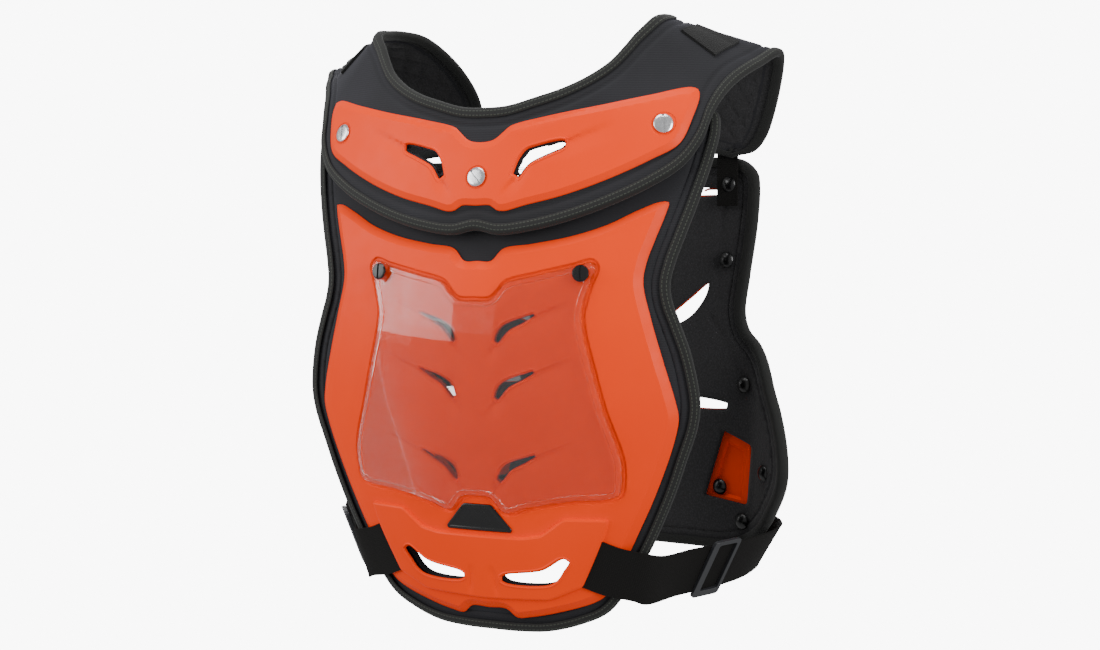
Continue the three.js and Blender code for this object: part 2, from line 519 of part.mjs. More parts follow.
// Moves every point of a smooth outline outward by a distance
function grown(points, by) {
  const turn = THREE.ShapeUtils.isClockWise(points) ? -1 : 1;
  return points.map((p, i) => {
    const before = points[(i + points.length - 1) % points.length];
    const along = points[(i + 1) % points.length].clone().sub(before).normalize();
    return new THREE.Vector2(p.x + turn * by * along.y, p.y - turn * by * along.x);
  });
}
function inset(points, share) {
  const box = new THREE.Box2().setFromPoints(points);
  const centre = box.getCenter(new THREE.Vector2());
  return points.map((p) => p.clone().sub(centre).multiplyScalar(share).add(centre));
}
// Bar along Y through an outline, from one depth to another
function bar(points, from, to) {
  const geometry = new THREE.ExtrudeGeometry(new THREE.Shape(points), {
    depth: to - from, bevelEnabled: false, steps: 1,
  });
  geometry.rotateX(Math.PI / 2);
  geometry.translate(0, to, 0);
  return solid(geometry);
}
const FRONT_SPAN = [-2 * CHEST_FORWARD, 0];
const BACK_SPAN = [0, 2 * BACK_BEHIND];

// Vents on both sides of the middle. In the foam, where share is not 1, they are plainer.
function ventPair(rows, inner, reach, rise, bottom, share) {
  const shape = rows.map(({ out, up }) => new THREE.Vector2(inner + out * reach, up * rise - bottom));
  const open = share === 1 ? shape : inset(shape, share).filter((_, i) => i % 2 === 0);
  const left = bar(open, ...FRONT_SPAN);
  const right = bar(open.map((p) => new THREE.Vector2(-p.x, p.y)).reverse(), ...FRONT_SPAN);
  return left.add(right);
}
function chestVents(share) {
  let cut = ventPair(BELLY_VENT_OUTLINE, BELLY_VENT_INNER, BELLY_VENT_REACH, BELLY_VENT_RISE,
    BELLY_VENT_BOTTOM, share);
  for (const bottom of CHEST_VENT_BOTTOMS) {
    cut = cut.add(ventPair(CHEST_VENT_OUTLINE, CHEST_VENT_INNER, CHEST_VENT_REACH, CHEST_VENT_RISE,
      bottom, share));
  }
  return cut;
}
function yokeVents(share) {
  return ventPair(YOKE_VENT_OUTLINE, YOKE_VENT_INNER, YOKE_VENT_REACH, YOKE_VENT_RISE,
    YOKE_VENT_BOTTOM, share);
}
function backCuts(outlines, share) {
  let cut = null;
  for (const rows of outlines) {
    const open = inset(halfOutline(rows, BACK_PAD_WIDTH, BACK_PAD_HEIGHT, BACK_PAD_BOTTOM), share);
    const other = open.map((p) => new THREE.Vector2(-p.x, p.y)).reverse();
    const pair = bar(open, ...BACK_SPAN).add(bar(other, ...BACK_SPAN));
    cut = cut ? cut.add(pair) : pair;
  }
  return cut;
}

// Folded tape round the edge of a pad. Each station has the middle of the pad's edge, the
// direction along its face that leaves it there, and the direction through its thickness.
function boundEdge(stations, padThickness) {
  const half = padThickness / 2 + FACE_GAP + GAP;
  const wall = half + TAPE_THICKNESS;
  const section = [
    [-TAPE_COVER, half], [FACE_GAP, half], [FACE_GAP, -half], [-TAPE_COVER, -half],
    [-TAPE_COVER, -wall], [FACE_GAP + TAPE_THICKNESS, -wall], [FACE_GAP + TAPE_THICKNESS, wall],
    [-TAPE_COVER, wall],
  ];
  const rings = stations.map(({ edge, leave, through }) => section.map(([a, b]) => (
    edge.clone().addScaledVector(leave, a).addScaledVector(through, b)
  )));
  return skin(rings, { looped: true });
}
// The same tape round a pad that is cut from a face, swept along an even face
function tapeOnFace(face, points, padThickness) {
  const room = FACE_GAP + GAP;
  const reach = room + TAPE_THICKNESS;
  const tips = grown(points, -TAPE_COVER);
  const webs = grown(points, room);
  const backs = grown(points, reach);
  const at = (p, lift) => new THREE.Vector3(p.x, face(p.x, p.y, lift), p.y);
  const rings = points.map((_, i) => [
    at(tips[i], room), at(webs[i], room),
    at(webs[i], -padThickness - room), at(tips[i], -padThickness - room),
    at(tips[i], -padThickness - reach), at(backs[i], -padThickness - reach),
    at(backs[i], reach), at(tips[i], reach),
  ]);
  return solid(skin(rings, { looped: true }));
}
// and cut out of a creased one
function tapeOnCreasedFace(face, points, span, padThickness) {
  const reach = FACE_GAP + TAPE_THICKNESS;
  const outside = cutFromFace(face, grown(points, reach), span, -padThickness - reach, reach);
  const room = cutFromFace(face, grown(points, FACE_GAP), span, -padThickness - FACE_GAP, FACE_GAP);
  return outside.subtract(room).subtract(bar(grown(points, -TAPE_COVER), ...span));
}

// The yoke pad: cross lines swept from flap to flap
function yokeCurve(columns) {
  const half = YOKE_LINES.map((row) => new THREE.Vector3(
    row[columns[0]] * YOKE_REACH,
    row[columns[1]] * YOKE_DEPTH,
    row[columns[2]] * YOKE_HEIGHT - (YOKE_HEIGHT - YOKE_RIDGE),
  ));
  const other = half.slice(1).reverse().map((p) => new THREE.Vector3(-p.x, p.y, p.z));
  return new THREE.CatmullRomCurve3([...other, ...half], false, 'centripetal');
}
const neckCurve = yokeCurve(['neckOut', 'neckBack', 'neckUp']);
const edgeCurve = yokeCurve(['edgeOut', 'edgeBack', 'edgeUp']);
const hugRows = YOKE_LINES.map((row, i) => ({ step: i / (YOKE_LINES.length - 1), hug: row.hug }));
const hugAt = column(hugRows, 'step', 'hug');
const YOKE_LIFT = UNDERLAP_GAP + YOKE_PAD_THICKNESS;

function yokePoint(along, across) {
  const neck = neckCurve.getPoint(along);
  const edge = edgeCurve.getPoint(along);
  const hug = THREE.MathUtils.clamp(hugAt(Math.abs(2 * along - 1)), 0, 1);
  const point = neck.clone().lerp(edge, across);
  for (const end of [neck, edge]) end.y = THREE.MathUtils.lerp(end.y, chestFace(end.x, end.z, YOKE_LIFT), hug);
  const straight = THREE.MathUtils.lerp(neck.y, edge.y, across);
  point.y = THREE.MathUtils.lerp(straight, chestFace(point.x, point.z, YOKE_LIFT), hug);
  return point;
}
function yokeNormal(along, across) {
  const step = 0.004;
  const alongLow = Math.max(0, along - step);
  const alongHigh = Math.min(1, along + step);
  const acrossLow = Math.max(0, across - 0.02);
  const acrossHigh = Math.min(1, across + 0.02);
  const a = yokePoint(alongHigh, across).sub(yokePoint(alongLow, across));
  const b = yokePoint(along, acrossHigh).sub(yokePoint(along, acrossLow));
  return new THREE.Vector3().crossVectors(b, a).normalize();
}
function yokePad() {
  const rings = [];
  for (let i = 0; i <= 2 * YOKE_STEPS; i += 1) {
    const along = i / (2 * YOKE_STEPS);
    const outer = [];
    const inner = [];
    for (let j = 0; j <= YOKE_COLUMNS; j += 1) {
      const point = yokePoint(along, j / YOKE_COLUMNS);
      const normal = yokeNormal(along, j / YOKE_COLUMNS);
      outer.push(point);
      inner.push(point.clone().addScaledVector(normal, -YOKE_PAD_THICKNESS));
    }
    rings.push([...inner, ...outer.reverse()]);
  }
  return solid(latticeSkin(rings, YOKE_COLUMNS + 1, (ring) => ring < YOKE_STEPS))
    .subtract(yokeVents(PAD_VENT_MARGIN));
}
function yokeStations() {
  const stations = [];
  const add = (along, across, leave) => {
    const through = yokeNormal(along, across);
    const edge = yokePoint(along, across).addScaledVector(through, -YOKE_PAD_THICKNESS / 2);
    const flat = leave.addScaledVector(through, -leave.dot(through)).normalize();
    stations.push({ edge, leave: flat, through });
  };
  const off = (along, from, to) => yokePoint(along, to).sub(yokePoint(along, from)).normalize();
  const count = 2 * YOKE_STEPS;
  const corner = (a, b) => a.clone().add(b).normalize();
  const rear = yokePoint(1, 0.5).sub(yokePoint(1 - 0.02, 0.5)).normalize();
  const rearOther = yokePoint(0, 0.5).sub(yokePoint(0.02, 0.5)).normalize();
  const cell = 1 / YOKE_COLUMNS;
  for (let i = 1; i < count; i += 1) add(i / count, 0, off(i / count, cell, 0));
  add(1, 0, corner(off(1, 1, 0), rear));
  for (let j = 1; j < 4; j += 1) add(1, j / 4, rear.clone());
  add(1, 1, corner(off(1, 0, 1), rear));
  for (let i = count - 1; i > 0; i -= 1) add(i / count, 1, off(i / count, 1 - cell, 1));
  add(0, 1, corner(off(0, 0, 1), rearOther));
  for (let j = 3; j > 0; j -= 1) add(0, j / 4, rearOther.clone());
  add(0, 0, corner(off(0, 1, 0), rearOther));
  return stations;
}

// Pads and shields cut from the faces of the body form
const chestPadOutline = mirrored(
  halfOutline(CHEST_PAD_OUTLINE, CHEST_PAD_WIDTH, CHEST_PAD_HEIGHT, CHEST_PAD_BOTTOM));
const backPadOutline = mirrored(
  halfOutline(BACK_PAD_OUTLINE, BACK_PAD_WIDTH, BACK_PAD_HEIGHT, BACK_PAD_BOTTOM));

function cutFromFace(face, points, span, low, high) {
  const box = new THREE.Box2().setFromPoints(points);
  const halfWidth = Math.max(Math.abs(box.min.x), Math.abs(box.max.x));
  return slab(face, halfWidth, box.min.y, box.max.y, low, high).intersect(bar(points, ...span));
}
function chestPad() {
  return cutFromFace(chestFace, chestPadOutline, FRONT_SPAN, -CHEST_PAD_THICKNESS, 0)
    .subtract(chestVents(PAD_VENT_MARGIN));
}
function backPad() {
  return cutFromFace(backFace, backPadOutline, BACK_SPAN, -BACK_PAD_THICKNESS, 0)
    .subtract(backCuts([...BACK_SLITS, ...BACK_PAD_WINDOWS], 1));
}
const CHEST_PLATE_LIFT = GAP + CHEST_PLATE_THICKNESS;
const BACK_PLATE_LIFT = GAP + BACK_PLATE_THICKNESS;
const YOKE_PLATE_LIFT = YOKE_LIFT + 2 * FACE_GAP + YOKE_PLATE_THICKNESS;

function strapPocket() {
  const rings = strapRings(STRAP_POCKET_STEPS, FACE_GAP);
  return solid(skin(rings));
}
function chestPlate() {
  const outline = mirrored(
    halfOutline(CHEST_PLATE_OUTLINE, CHEST_PLATE_WIDTH, CHEST_PLATE_HEIGHT, CHEST_PLATE_BOTTOM));
  const belly = mirrored(
    halfOutline(BELLY_OUTLINE, CHEST_PLATE_WIDTH, CHEST_PLATE_HEIGHT, CHEST_PLATE_BOTTOM));
  const base = cutFromFace(chestFace, outline, FRONT_SPAN, GAP, CHEST_PLATE_LIFT);
  const raised = cutFromFace(chestFace, belly, FRONT_SPAN, GAP, CHEST_PLATE_LIFT + BELLY_RISE);
  return base.add(raised).subtract(chestVents(1)).subtract(strapPocket())
    .subtract(mirrorSolid(strapPocket()));
}
function yokePlate() {
  const outline = mirrored(
    halfOutline(YOKE_PLATE_OUTLINE, YOKE_PLATE_WIDTH, YOKE_PLATE_HEIGHT, YOKE_PLATE_BOTTOM));
  const r = YOKE_SCREW_HEAD / 2 + 2 * GAP;
  const seat = solid(turned([[0, 0], [r, 0], [r, 2 * r], [0, 2 * r]], 14));
  const seats = [[YOKE_SCREW_OUT, YOKE_SCREW_DROP], [-YOKE_SCREW_OUT, YOKE_SCREW_DROP], [0, YOKE_SCREW_LOW_DROP]]
    .map(([x, drop]) => stand(seat, chestFace, x, -drop, -1, YOKE_PLATE_LIFT - YOKE_SCREW_RECESS));
  const plate = cutFromFace(chestFace, outline, FRONT_SPAN, YOKE_LIFT + 2 * FACE_GAP, YOKE_PLATE_LIFT)
    .subtract(yokeVents(1));
  return seats.reduce((body, cut) => body.subtract(cut), plate);
}
function backPlate() {
  const outline = mirrored(
    halfOutline(BACK_PLATE_OUTLINE, BACK_PLATE_WIDTH, BACK_PLATE_HEIGHT, BACK_PLATE_BOTTOM));
  return cutFromFace(backFace, outline, BACK_SPAN, GAP, BACK_PLATE_LIFT)
    .subtract(backCuts(BACK_SLITS, 0.9));
}

// Screw seats on the chest shield, with a shank that carries the window
const WINDOW_LOW = CHEST_PLATE_LIFT + WINDOW_STANDOFF;
const WINDOW_HIGH = WINDOW_LOW + WINDOW_THICKNESS;
function turned(profile, sides) {
  const points = profile.map(([r, h]) => new THREE.Vector2(r, h));
  return new THREE.LatheGeometry(points, sides);
}
// Stands a turned piece, whose axis is +Y, on a face with its axis straight out
function stand(body, face, x, z, side, lift) {
  const matrix = new THREE.Matrix4().makeRotationFromQuaternion(
    new THREE.Quaternion().setFromUnitVectors(new THREE.Vector3(0, 1, 0), outward(face, x, z, side)));
  matrix.setPosition(x, face(x, z, lift), z);
  const geometry = geometryOf(body);
  geometry.applyMatrix4(matrix);
  return solid(geometry);
}
function slotted(body, head, height, turn) {
  const slot = new THREE.BoxGeometry(SLOT_WIDTH, 2 * SLOT_DEPTH, 2 * head);
  slot.rotateY(turn);
  slot.translate(0, height, 0);
  return body.subtract(solid(slot));
}
function yokeScrew(x, drop, turn) {
  const r = YOKE_SCREW_HEAD / 2;
  const h = YOKE_SCREW_HEIGHT;
  const head = solid(turned([[0, 0], [r, 0], [r, 0.7 * h], [0.88 * r, h], [0, h]], 14));
  const lift = YOKE_PLATE_LIFT - YOKE_SCREW_RECESS + GAP;
  return stand(slotted(head, r, h, turn), chestFace, x, -drop, -1, lift);
}
function windowHole(x) {
  const r = WINDOW_SCREW_SHANK / 2 + FACE_GAP;
  const hole = solid(turned([[0, -WINDOW_HIGH], [r, -WINDOW_HIGH], [r, WINDOW_HIGH], [0, WINDOW_HIGH]], 12));
  return stand(hole, chestFace, x, -WINDOW_SCREW_DROP, -1, WINDOW_LOW);
}
function windowScrew(x, turn) {
  const r = WINDOW_SCREW_HEAD / 2;
  const s = WINDOW_SCREW_SHANK / 2;
  const base = FACE_GAP - WINDOW_STANDOFF;
  const under = WINDOW_THICKNESS + FACE_GAP;
  const top = under + WINDOW_SCREW_HEIGHT;
  const profile = [[0, base], [s, base], [s, under], [r, under], [r, top - 0.8], [0.8 * r, top], [0, top]];
  const screw = solid(turned(profile, 12));
  return stand(slotted(screw, r, top, turn), chestFace, x, -WINDOW_SCREW_DROP, -1, WINDOW_LOW);
}
function windowPane() {
  const outline = mirrored(halfOutline(WINDOW_OUTLINE, WINDOW_WIDTH, WINDOW_HEIGHT, WINDOW_BOTTOM));
  const pane = cutFromFace(chestFace, outline, FRONT_SPAN, CHEST_PLATE_LIFT + FACE_GAP, WINDOW_HIGH);
  const room = inset(outline, 1 - 2 * WINDOW_RIM / WINDOW_WIDTH);
  const hollow = cutFromFace(chestFace, room, FRONT_SPAN, GAP, WINDOW_LOW);
  const boss = (x) => {
    const r = WINDOW_SCREW_HEAD / 2 + FACE_GAP;
    return stand(solid(turned([[0, 0], [r, 0], [r, 2 * WINDOW_LOW], [0, 2 * WINDOW_LOW]], 14)),
      chestFace, x, -WINDOW_SCREW_DROP, -1, WINDOW_HIGH);
  };
  return pane.subtract(hollow)
    .subtract(windowHole(WINDOW_SCREW_OUT)).subtract(windowHole(-WINDOW_SCREW_OUT))
    .subtract(boss(WINDOW_SCREW_OUT)).subtract(boss(-WINDOW_SCREW_OUT));
}
function badge() {
  const outline = mirrored(halfOutline(BADGE_OUTLINE, BADGE_WIDTH, BADGE_HEIGHT, BADGE_BOTTOM));
  const low = CHEST_PLATE_LIFT + FACE_GAP;
  return cutFromFace(chestFace, outline, FRONT_SPAN, low, low + BADGE_THICKNESS);
}

// Waist strap: a flat band through the route's stations
function strapStation(row) {
  const x = row.out * BACK_PAD_WIDTH / 2;
  const z = row.up * CHEST_PAD_HEIGHT - CHEST_PAD_BOTTOM;
  const fall = STRAP_WIDTH * Math.sqrt(1 - row.lean ** 2);
  const lifted = FACE_GAP + STRAP_THICKNESS / 2;
  const depth = {
    chest: (p) => chestFace(p.x, p.z, CHEST_PLATE_LIFT + lifted),
    back: (p) => backFace(p.x, p.z, BACK_PLATE_LIFT + lifted),
  }[row.rests] ?? (() => row.back * BACK_BEHIND);
  const top = new THREE.Vector3(x, 0, z);
  const low = new THREE.Vector3(x - row.lean * STRAP_WIDTH, 0, z - fall);
  for (const point of [top, low]) point.y = depth(point);
  return { top, low };
}
const strapTops = new THREE.CatmullRomCurve3(STRAP_ROUTE.map((row) => strapStation(row).top));
const strapLows = new THREE.CatmullRomCurve3(STRAP_ROUTE.map((row) => strapStation(row).low));
function strapFrame(along) {
  const top = strapTops.getPoint(along);
  const low = strapLows.getPoint(along);
  const middle = top.clone().lerp(low, 0.5);
  const step = 0.01;
  const ahead = Math.min(1, along + step);
  const behind = Math.max(0, along - step);
  const forward = strapTops.getPoint(ahead).add(strapLows.getPoint(ahead))
    .sub(strapTops.getPoint(behind)).sub(strapLows.getPoint(behind)).normalize();
  const upward = top.clone().sub(low).normalize();
  const out = new THREE.Vector3().crossVectors(forward, upward).normalize();
  return { middle, forward, upward, out };
}
function strapRings(steps, spare) {
  const rings = [];
  for (let i = 0; i <= steps; i += 1) {
    const { middle, forward, upward, out } = strapFrame(i / STRAP_STEPS);
    if (i === 0) middle.addScaledVector(forward, -spare);
    const w = STRAP_WIDTH / 2 + spare;
    const t = STRAP_THICKNESS / 2 + spare;
    rings.push([[w, t], [w, -t], [-w, -t], [-w, t]].map(([a, b]) => (
      middle.clone().addScaledVector(upward, a).addScaledVector(out, b)
    )));
  }
  return rings;
}
function waistStrap() {
  return solid(skin(strapRings(STRAP_STEPS, 0)));
}
// Slider: two rails outside the strap and one bar inside it, joined past the strap's edges
function slider() {
  const room = STRAP_THICKNESS / 2 + 2 * FACE_GAP;
  const box = (length, height, thick, along, up, out) => {
    const geometry = new THREE.BoxGeometry(length, height, thick);
    geometry.translate(along, up, out);
    return solid(geometry);
  };
  const railOut = room + SLIDER_BAR / 2;
  const railAt = (SLIDER_LENGTH - SLIDER_RAIL) / 2;
  const endTall = (SLIDER_HEIGHT - STRAP_WIDTH) / 2 - 1;
  const endAt = (SLIDER_HEIGHT - endTall) / 2;
  const endThick = 2 * (room + SLIDER_BAR);
  const local = box(SLIDER_RAIL, SLIDER_HEIGHT, SLIDER_BAR, railAt, 0, railOut)
    .add(box(SLIDER_RAIL, SLIDER_HEIGHT, SLIDER_BAR, -railAt, 0, railOut))
    .add(box(SLIDER_RAIL, SLIDER_HEIGHT, SLIDER_BAR, 0, 0, -railOut))
    .add(box(SLIDER_LENGTH, endTall, endThick, 0, endAt, 0))
    .add(box(SLIDER_LENGTH, endTall, endThick, 0, -endAt, 0));
  const { middle, forward, upward, out } = strapFrame(SLIDER_PLACE);
  const matrix = new THREE.Matrix4().makeBasis(forward, upward, out).setPosition(middle);
  const geometry = geometryOf(local);
  geometry.applyMatrix4(matrix);
  return solid(geometry);
}

// Hook-and-loop patch on top of the shoulder
function shoulderPatch() {
  const rings = [];
  for (const line of PATCH_LINES) {
    const along = 0.5 + line / (2 * YOKE_STEPS);
    const at = (across, lift) => (
      yokePoint(along, across).addScaledVector(yokeNormal(along, across), 2 * FACE_GAP + lift)
    );
    const low = PATCH_COLUMNS.map((across) => at(across, 0));
    const high = PATCH_COLUMNS.map((across) => at(across, PATCH_THICKNESS));
    rings.push([...low, ...high.reverse()]);
  }
  return solid(skin(rings));
}
// Tab between the flap and the back pad
function backTab() {
  const corner = (x, row, thick) => {
    const z = -TAB_TOP - row.down * TAB_LENGTH;
    return new THREE.Vector3(x, backFace(x, z, -BACK_PAD_THICKNESS - row.sink * TAB_SINK) - thick, z);
  };
  const low = TAB_OUT - TAB_WIDTH / 2;
  const high = TAB_OUT + TAB_WIDTH / 2;
  return solid(skin(TAB_ROUTE.map((row) => [
    corner(low, row, 0), corner(high, row, 0), corner(high, row, TAB_THICKNESS), corner(low, row, TAB_THICKNESS),
  ])));
}
function rivet(row) {
  const r = RIVET_HEAD / 2;
  const h = RIVET_HEIGHT;
  const dome = solid(turned([[0, 0], [r, 0], [0.82 * r, 0.6 * h], [0, h]], 8));
  const x = row.out * BACK_PAD_WIDTH / 2;
  const z = row.up * BACK_PAD_HEIGHT - BACK_PAD_BOTTOM;
  const seats = {
    pad: -BACK_PAD_THICKNESS - 1.5 * FACE_GAP,
    tab: -BACK_PAD_THICKNESS - TAB_SINK - FACE_GAP - TAB_THICKNESS,
    plate: GAP - FACE_GAP,
  };
  return stand(dome, backFace, x, z, -1, seats[row.seat]);
}

function mirrorSolid(body) {
  const mesh = body.getMesh();
  const points = new Float32Array(mesh.vertProperties);
  for (let i = 0; i < points.length; i += 3) points[i] = -points[i];
  const triangles = new Uint32Array(mesh.triVerts);
  for (let i = 0; i < triangles.length; i += 3) {
    [triangles[i + 1], triangles[i + 2]] = [triangles[i + 2], triangles[i + 1]];
  }
  return new wasm.Manifold(new wasm.Mesh({ numProp: 3, vertProperties: points, triVerts: triangles }));
}

// Assembly
const roostDeflector = new THREE.Group();
function place(name, body, material) {
  const mesh = new THREE.Mesh(geometryOf(body), material);
  mesh.name = name;
  roostDeflector.add(mesh);
}
function placePair(name, body, material) {
  place(`${name}_left`, body, material);
  place(`${name}_right`, mirrorSolid(body), material);
}

place('yoke_pad', yokePad(), blackFoam());
place('yoke_binding', solid(boundEdge(yokeStations(), YOKE_PAD_THICKNESS)), tape());
place('yoke_plate', yokePlate(), orange());
place('chest_pad', chestPad(), blackFoam());
place('chest_binding', tapeOnFace(chestFace, chestPadOutline, CHEST_PAD_THICKNESS), tape());
place('chest_plate', chestPlate(), orange());
place('window', windowPane(), clear());
place('badge', badge(), blackPlastic());
place('back_pad', backPad(), blackFoam());
place('back_binding', tapeOnCreasedFace(backFace, backPadOutline, BACK_SPAN, BACK_PAD_THICKNESS), tape());
place('back_plate', backPlate(), orange());
place('yoke_screw_left', yokeScrew(YOKE_SCREW_OUT, YOKE_SCREW_DROP, 0), steel());
place('yoke_screw_right', yokeScrew(-YOKE_SCREW_OUT, YOKE_SCREW_DROP, 0), steel());
place('yoke_screw_middle', yokeScrew(0, YOKE_SCREW_LOW_DROP, Math.PI / 4), steel());
place('window_screw_left', windowScrew(WINDOW_SCREW_OUT, 0), blackPlastic());
place('window_screw_right', windowScrew(-WINDOW_SCREW_OUT, 0), blackPlastic());
placePair('waist_strap', waistStrap(), webbing());
placePair('slider', slider(), blackPlastic());
placePair('shoulder_patch', shoulderPatch(), webbing());
placePair('back_tab', backTab(), webbing());
for (const row of RIVETS) placePair(row.name, rivet(row), blackPlastic());

export default roostDeflector;
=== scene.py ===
# %% [markdown]
# # Roost deflector
# A chest and back protector: moulded orange shields on bound foam pads, worn over the shoulders.
# The CAD model fixes every place and size. Here each solid gets its rounded rims, creases, seams,
# stitches and weave.

# %% Start from the CAD frame
import bpy
import bmesh
import math
import numpy as np
from mathutils import Matrix, Vector
from numpy.linalg import norm


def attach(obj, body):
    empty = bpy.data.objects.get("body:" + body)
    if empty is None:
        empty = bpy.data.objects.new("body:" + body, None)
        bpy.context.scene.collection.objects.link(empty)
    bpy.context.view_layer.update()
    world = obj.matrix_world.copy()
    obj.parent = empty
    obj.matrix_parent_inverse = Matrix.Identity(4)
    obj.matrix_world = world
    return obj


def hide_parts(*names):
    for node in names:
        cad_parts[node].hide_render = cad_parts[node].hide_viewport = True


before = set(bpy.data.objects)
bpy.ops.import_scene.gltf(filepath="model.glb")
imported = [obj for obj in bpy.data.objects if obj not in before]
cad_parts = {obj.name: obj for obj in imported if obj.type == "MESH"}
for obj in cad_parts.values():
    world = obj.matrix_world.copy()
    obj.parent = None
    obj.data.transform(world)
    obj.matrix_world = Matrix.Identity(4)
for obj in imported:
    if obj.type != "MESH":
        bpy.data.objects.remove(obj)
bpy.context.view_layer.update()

# %% [markdown]
# ## The camera
# The camera was solved from the picture: a lens a little longer than normal, a step to the
# wearer's left and almost level.

# %% Camera
AIM = Vector((0.0691, -0.105, -0.250))
CAMERA_DISTANCE = 1.3044
CAMERA_AZIMUTH = math.radians(22.87)
CAMERA_ELEVATION = math.radians(3.45)
away = Vector((
    math.sin(CAMERA_AZIMUTH) * math.cos(CAMERA_ELEVATION),
    -math.cos(CAMERA_AZIMUTH) * math.cos(CAMERA_ELEVATION),
    math.sin(CAMERA_ELEVATION),
))
camera = bpy.data.objects.new("camera", bpy.data.cameras.new("camera"))
camera.data.lens = 49.09
camera.data.sensor_width = 36
camera.location = AIM + CAMERA_DISTANCE * away
camera.rotation_mode = "QUATERNION"
camera.rotation_quaternion = (-away).to_track_quat("-Z", "Y")
bpy.context.scene.collection.objects.link(camera)
bpy.context.scene.camera = camera
print("camera at", [round(c, 3) for c in camera.location])

# %% [markdown]
# ## The body form
# All layers lie on one curved face and differ only in their lift from it. A table gives the
# chest, a parabola gives the back.

# %% Chest and back faces, in millimetres
CHEST_PROFILE = (
    (0.000, 1.70, 1.50), (0.061, 1.30, 1.46), (0.113, 1.03, 1.36), (0.157, 0.83, 1.17),
    (0.200, 0.68, 1.02), (0.304, 0.27, 0.91), (0.426, -0.10, 0.87), (0.530, -0.22, 0.90),
    (0.635, -0.21, 0.98), (0.739, -0.03, 1.12), (0.843, 0.25, 1.29), (0.913, 0.55, 1.44),
    (1.000, 0.97, 1.65),
)


def span(p0, p1, p2, p3, w):
    """Point at share w between p1 and p2 on the smooth curve through all four."""
    pairs = (p0, p1), (p1, p2), (p2, p3)
    d0, d1, d2 = (max(1e-4, float(norm(b - a)) ** 0.5) for a, b in pairs)
    m1 = ((p1 - p0) / d0 - (p2 - p0) / (d0 + d1) + (p2 - p1) / d1) * d1
    m2 = ((p2 - p1) / d1 - (p3 - p1) / (d1 + d2) + (p3 - p2) / d2) * d1
    return p1 + m1 * w + (3 * (p2 - p1) - 2 * m1 - m2) * w ** 2 + (2 * (p1 - p2) + m1 + m2) * w ** 3


def unit(v):
    return v / norm(v)


def through(points, share):
    """Point at a share of the smooth open curve through the points."""
    at = min(share * (len(points) - 1), len(points) - 1 - 1e-9)
    i = int(at)
    before = points[i - 1] if i else 2 * points[0] - points[1]
    after = points[i + 2] if i + 2 < len(points) else 2 * points[-1] - points[-2]
    return span(before, points[i], points[i + 1], after, at - i)


PROFILE_STEPS = 600
DROP_WEIGHT = 8
profile_rows = np.array(CHEST_PROFILE) * (DROP_WEIGHT, 1, 1)
fine_profile = np.array([through(profile_rows, k / PROFILE_STEPS)
                         for k in range(PROFILE_STEPS + 1)])
fine_profile[:, 0] /= DROP_WEIGHT
CHEST_TOP, CHEST_DROP = 35, 575
CHEST_FORWARD, CHEST_BULGE, CHEST_ROUND = 105, 30, 12
BACK_BEHIND, BACK_ROUND = 133, 9
WING_CREASE, WING_SLOPE, WING_TOP, WING_FULL = 198, 0.8, 240, 300


def chest(x, z, lift=0.0):
    drop = (CHEST_TOP - z) / CHEST_DROP
    behind = np.interp(drop, fine_profile[:, 0], fine_profile[:, 1])
    roundness = np.interp(drop, fine_profile[:, 0], fine_profile[:, 2])
    return CHEST_BULGE * behind - CHEST_FORWARD + CHEST_ROUND * roundness * (x / 100) ** 2 - lift


def back(x, z, lift=0.0):
    over = np.abs(x) - WING_CREASE
    wing = (over + np.sqrt(over ** 2 + 40)) / 2
    share = np.clip((-WING_TOP - z) / (WING_FULL - WING_TOP), 0, 1)
    return BACK_BEHIND - BACK_ROUND * (x / 100) ** 2 - WING_SLOPE * share * wing + lift


print("chest depth at the middle:", round(float(chest(0, -250))), "mm")

# %% [markdown]
# ## Outlines
# A moulded or cut piece starts as an outline drawn flat. Each table gives one half, in shares of
# the piece's half-width and height.

# %% Outline helpers


def placed(rows, box):
    """Places from shares of a box's half-width and height."""
    width, height, bottom = box
    return [(out * width / 2, up * height - bottom) for out, up in rows]


def outline(rows, box):
    half = placed(rows, box)
    return half + [(-x, z) for x, z in reversed(half) if x > 0.01]


def smooth_loop(points, step):
    """Closed smooth curve through the points, with a point about every step."""
    p = np.array(points, float)
    made = []
    for i in range(len(p)):
        four = p[i - 1], p[i], p[(i + 1) % len(p)], p[(i + 2) % len(p)]
        count = max(1, round(float(norm(four[2] - four[1])) / step))
        made += [span(*four, k / count) for k in range(count)]
    return np.array(made)


def grown(points, by):
    """The loop moved outward everywhere by a distance."""
    p = np.asarray(points, float)
    along = np.roll(p, -1, 0) - np.roll(p, 1, 0)
    along /= norm(along, axis=1)[:, None]
    turn = np.sign(np.sum(p[:, 0] * np.roll(p[:, 1], -1) - np.roll(p[:, 0], -1) * p[:, 1]))
    return p + by * turn * np.stack([along[:, 1], -along[:, 0]], 1)


def gaps(points, loop):
    """Distance from each point to the loop."""
    a, ab = loop, np.roll(loop, -1, 0) - loop
    share = np.clip(((points[:, None] - a) * ab).sum(2) / (ab ** 2).sum(1), 0, 1)
    return norm(points[:, None] - a - share[:, :, None] * ab, axis=2).min(1)


def crossing(a, along_a, b, along_b, limit):
    """Where two lines cross, or the middle of a and b where that is far away."""
    turn = along_a[0] * along_b[1] - along_a[1] * along_b[0]
    if abs(turn) > 1e-6:
        t = ((b - a)[0] * along_b[1] - (b - a)[1] * along_b[0]) / turn
        met = a + along_a * t
        if norm(met - (a + b) / 2) < limit:
            return met
    return (a + b) / 2


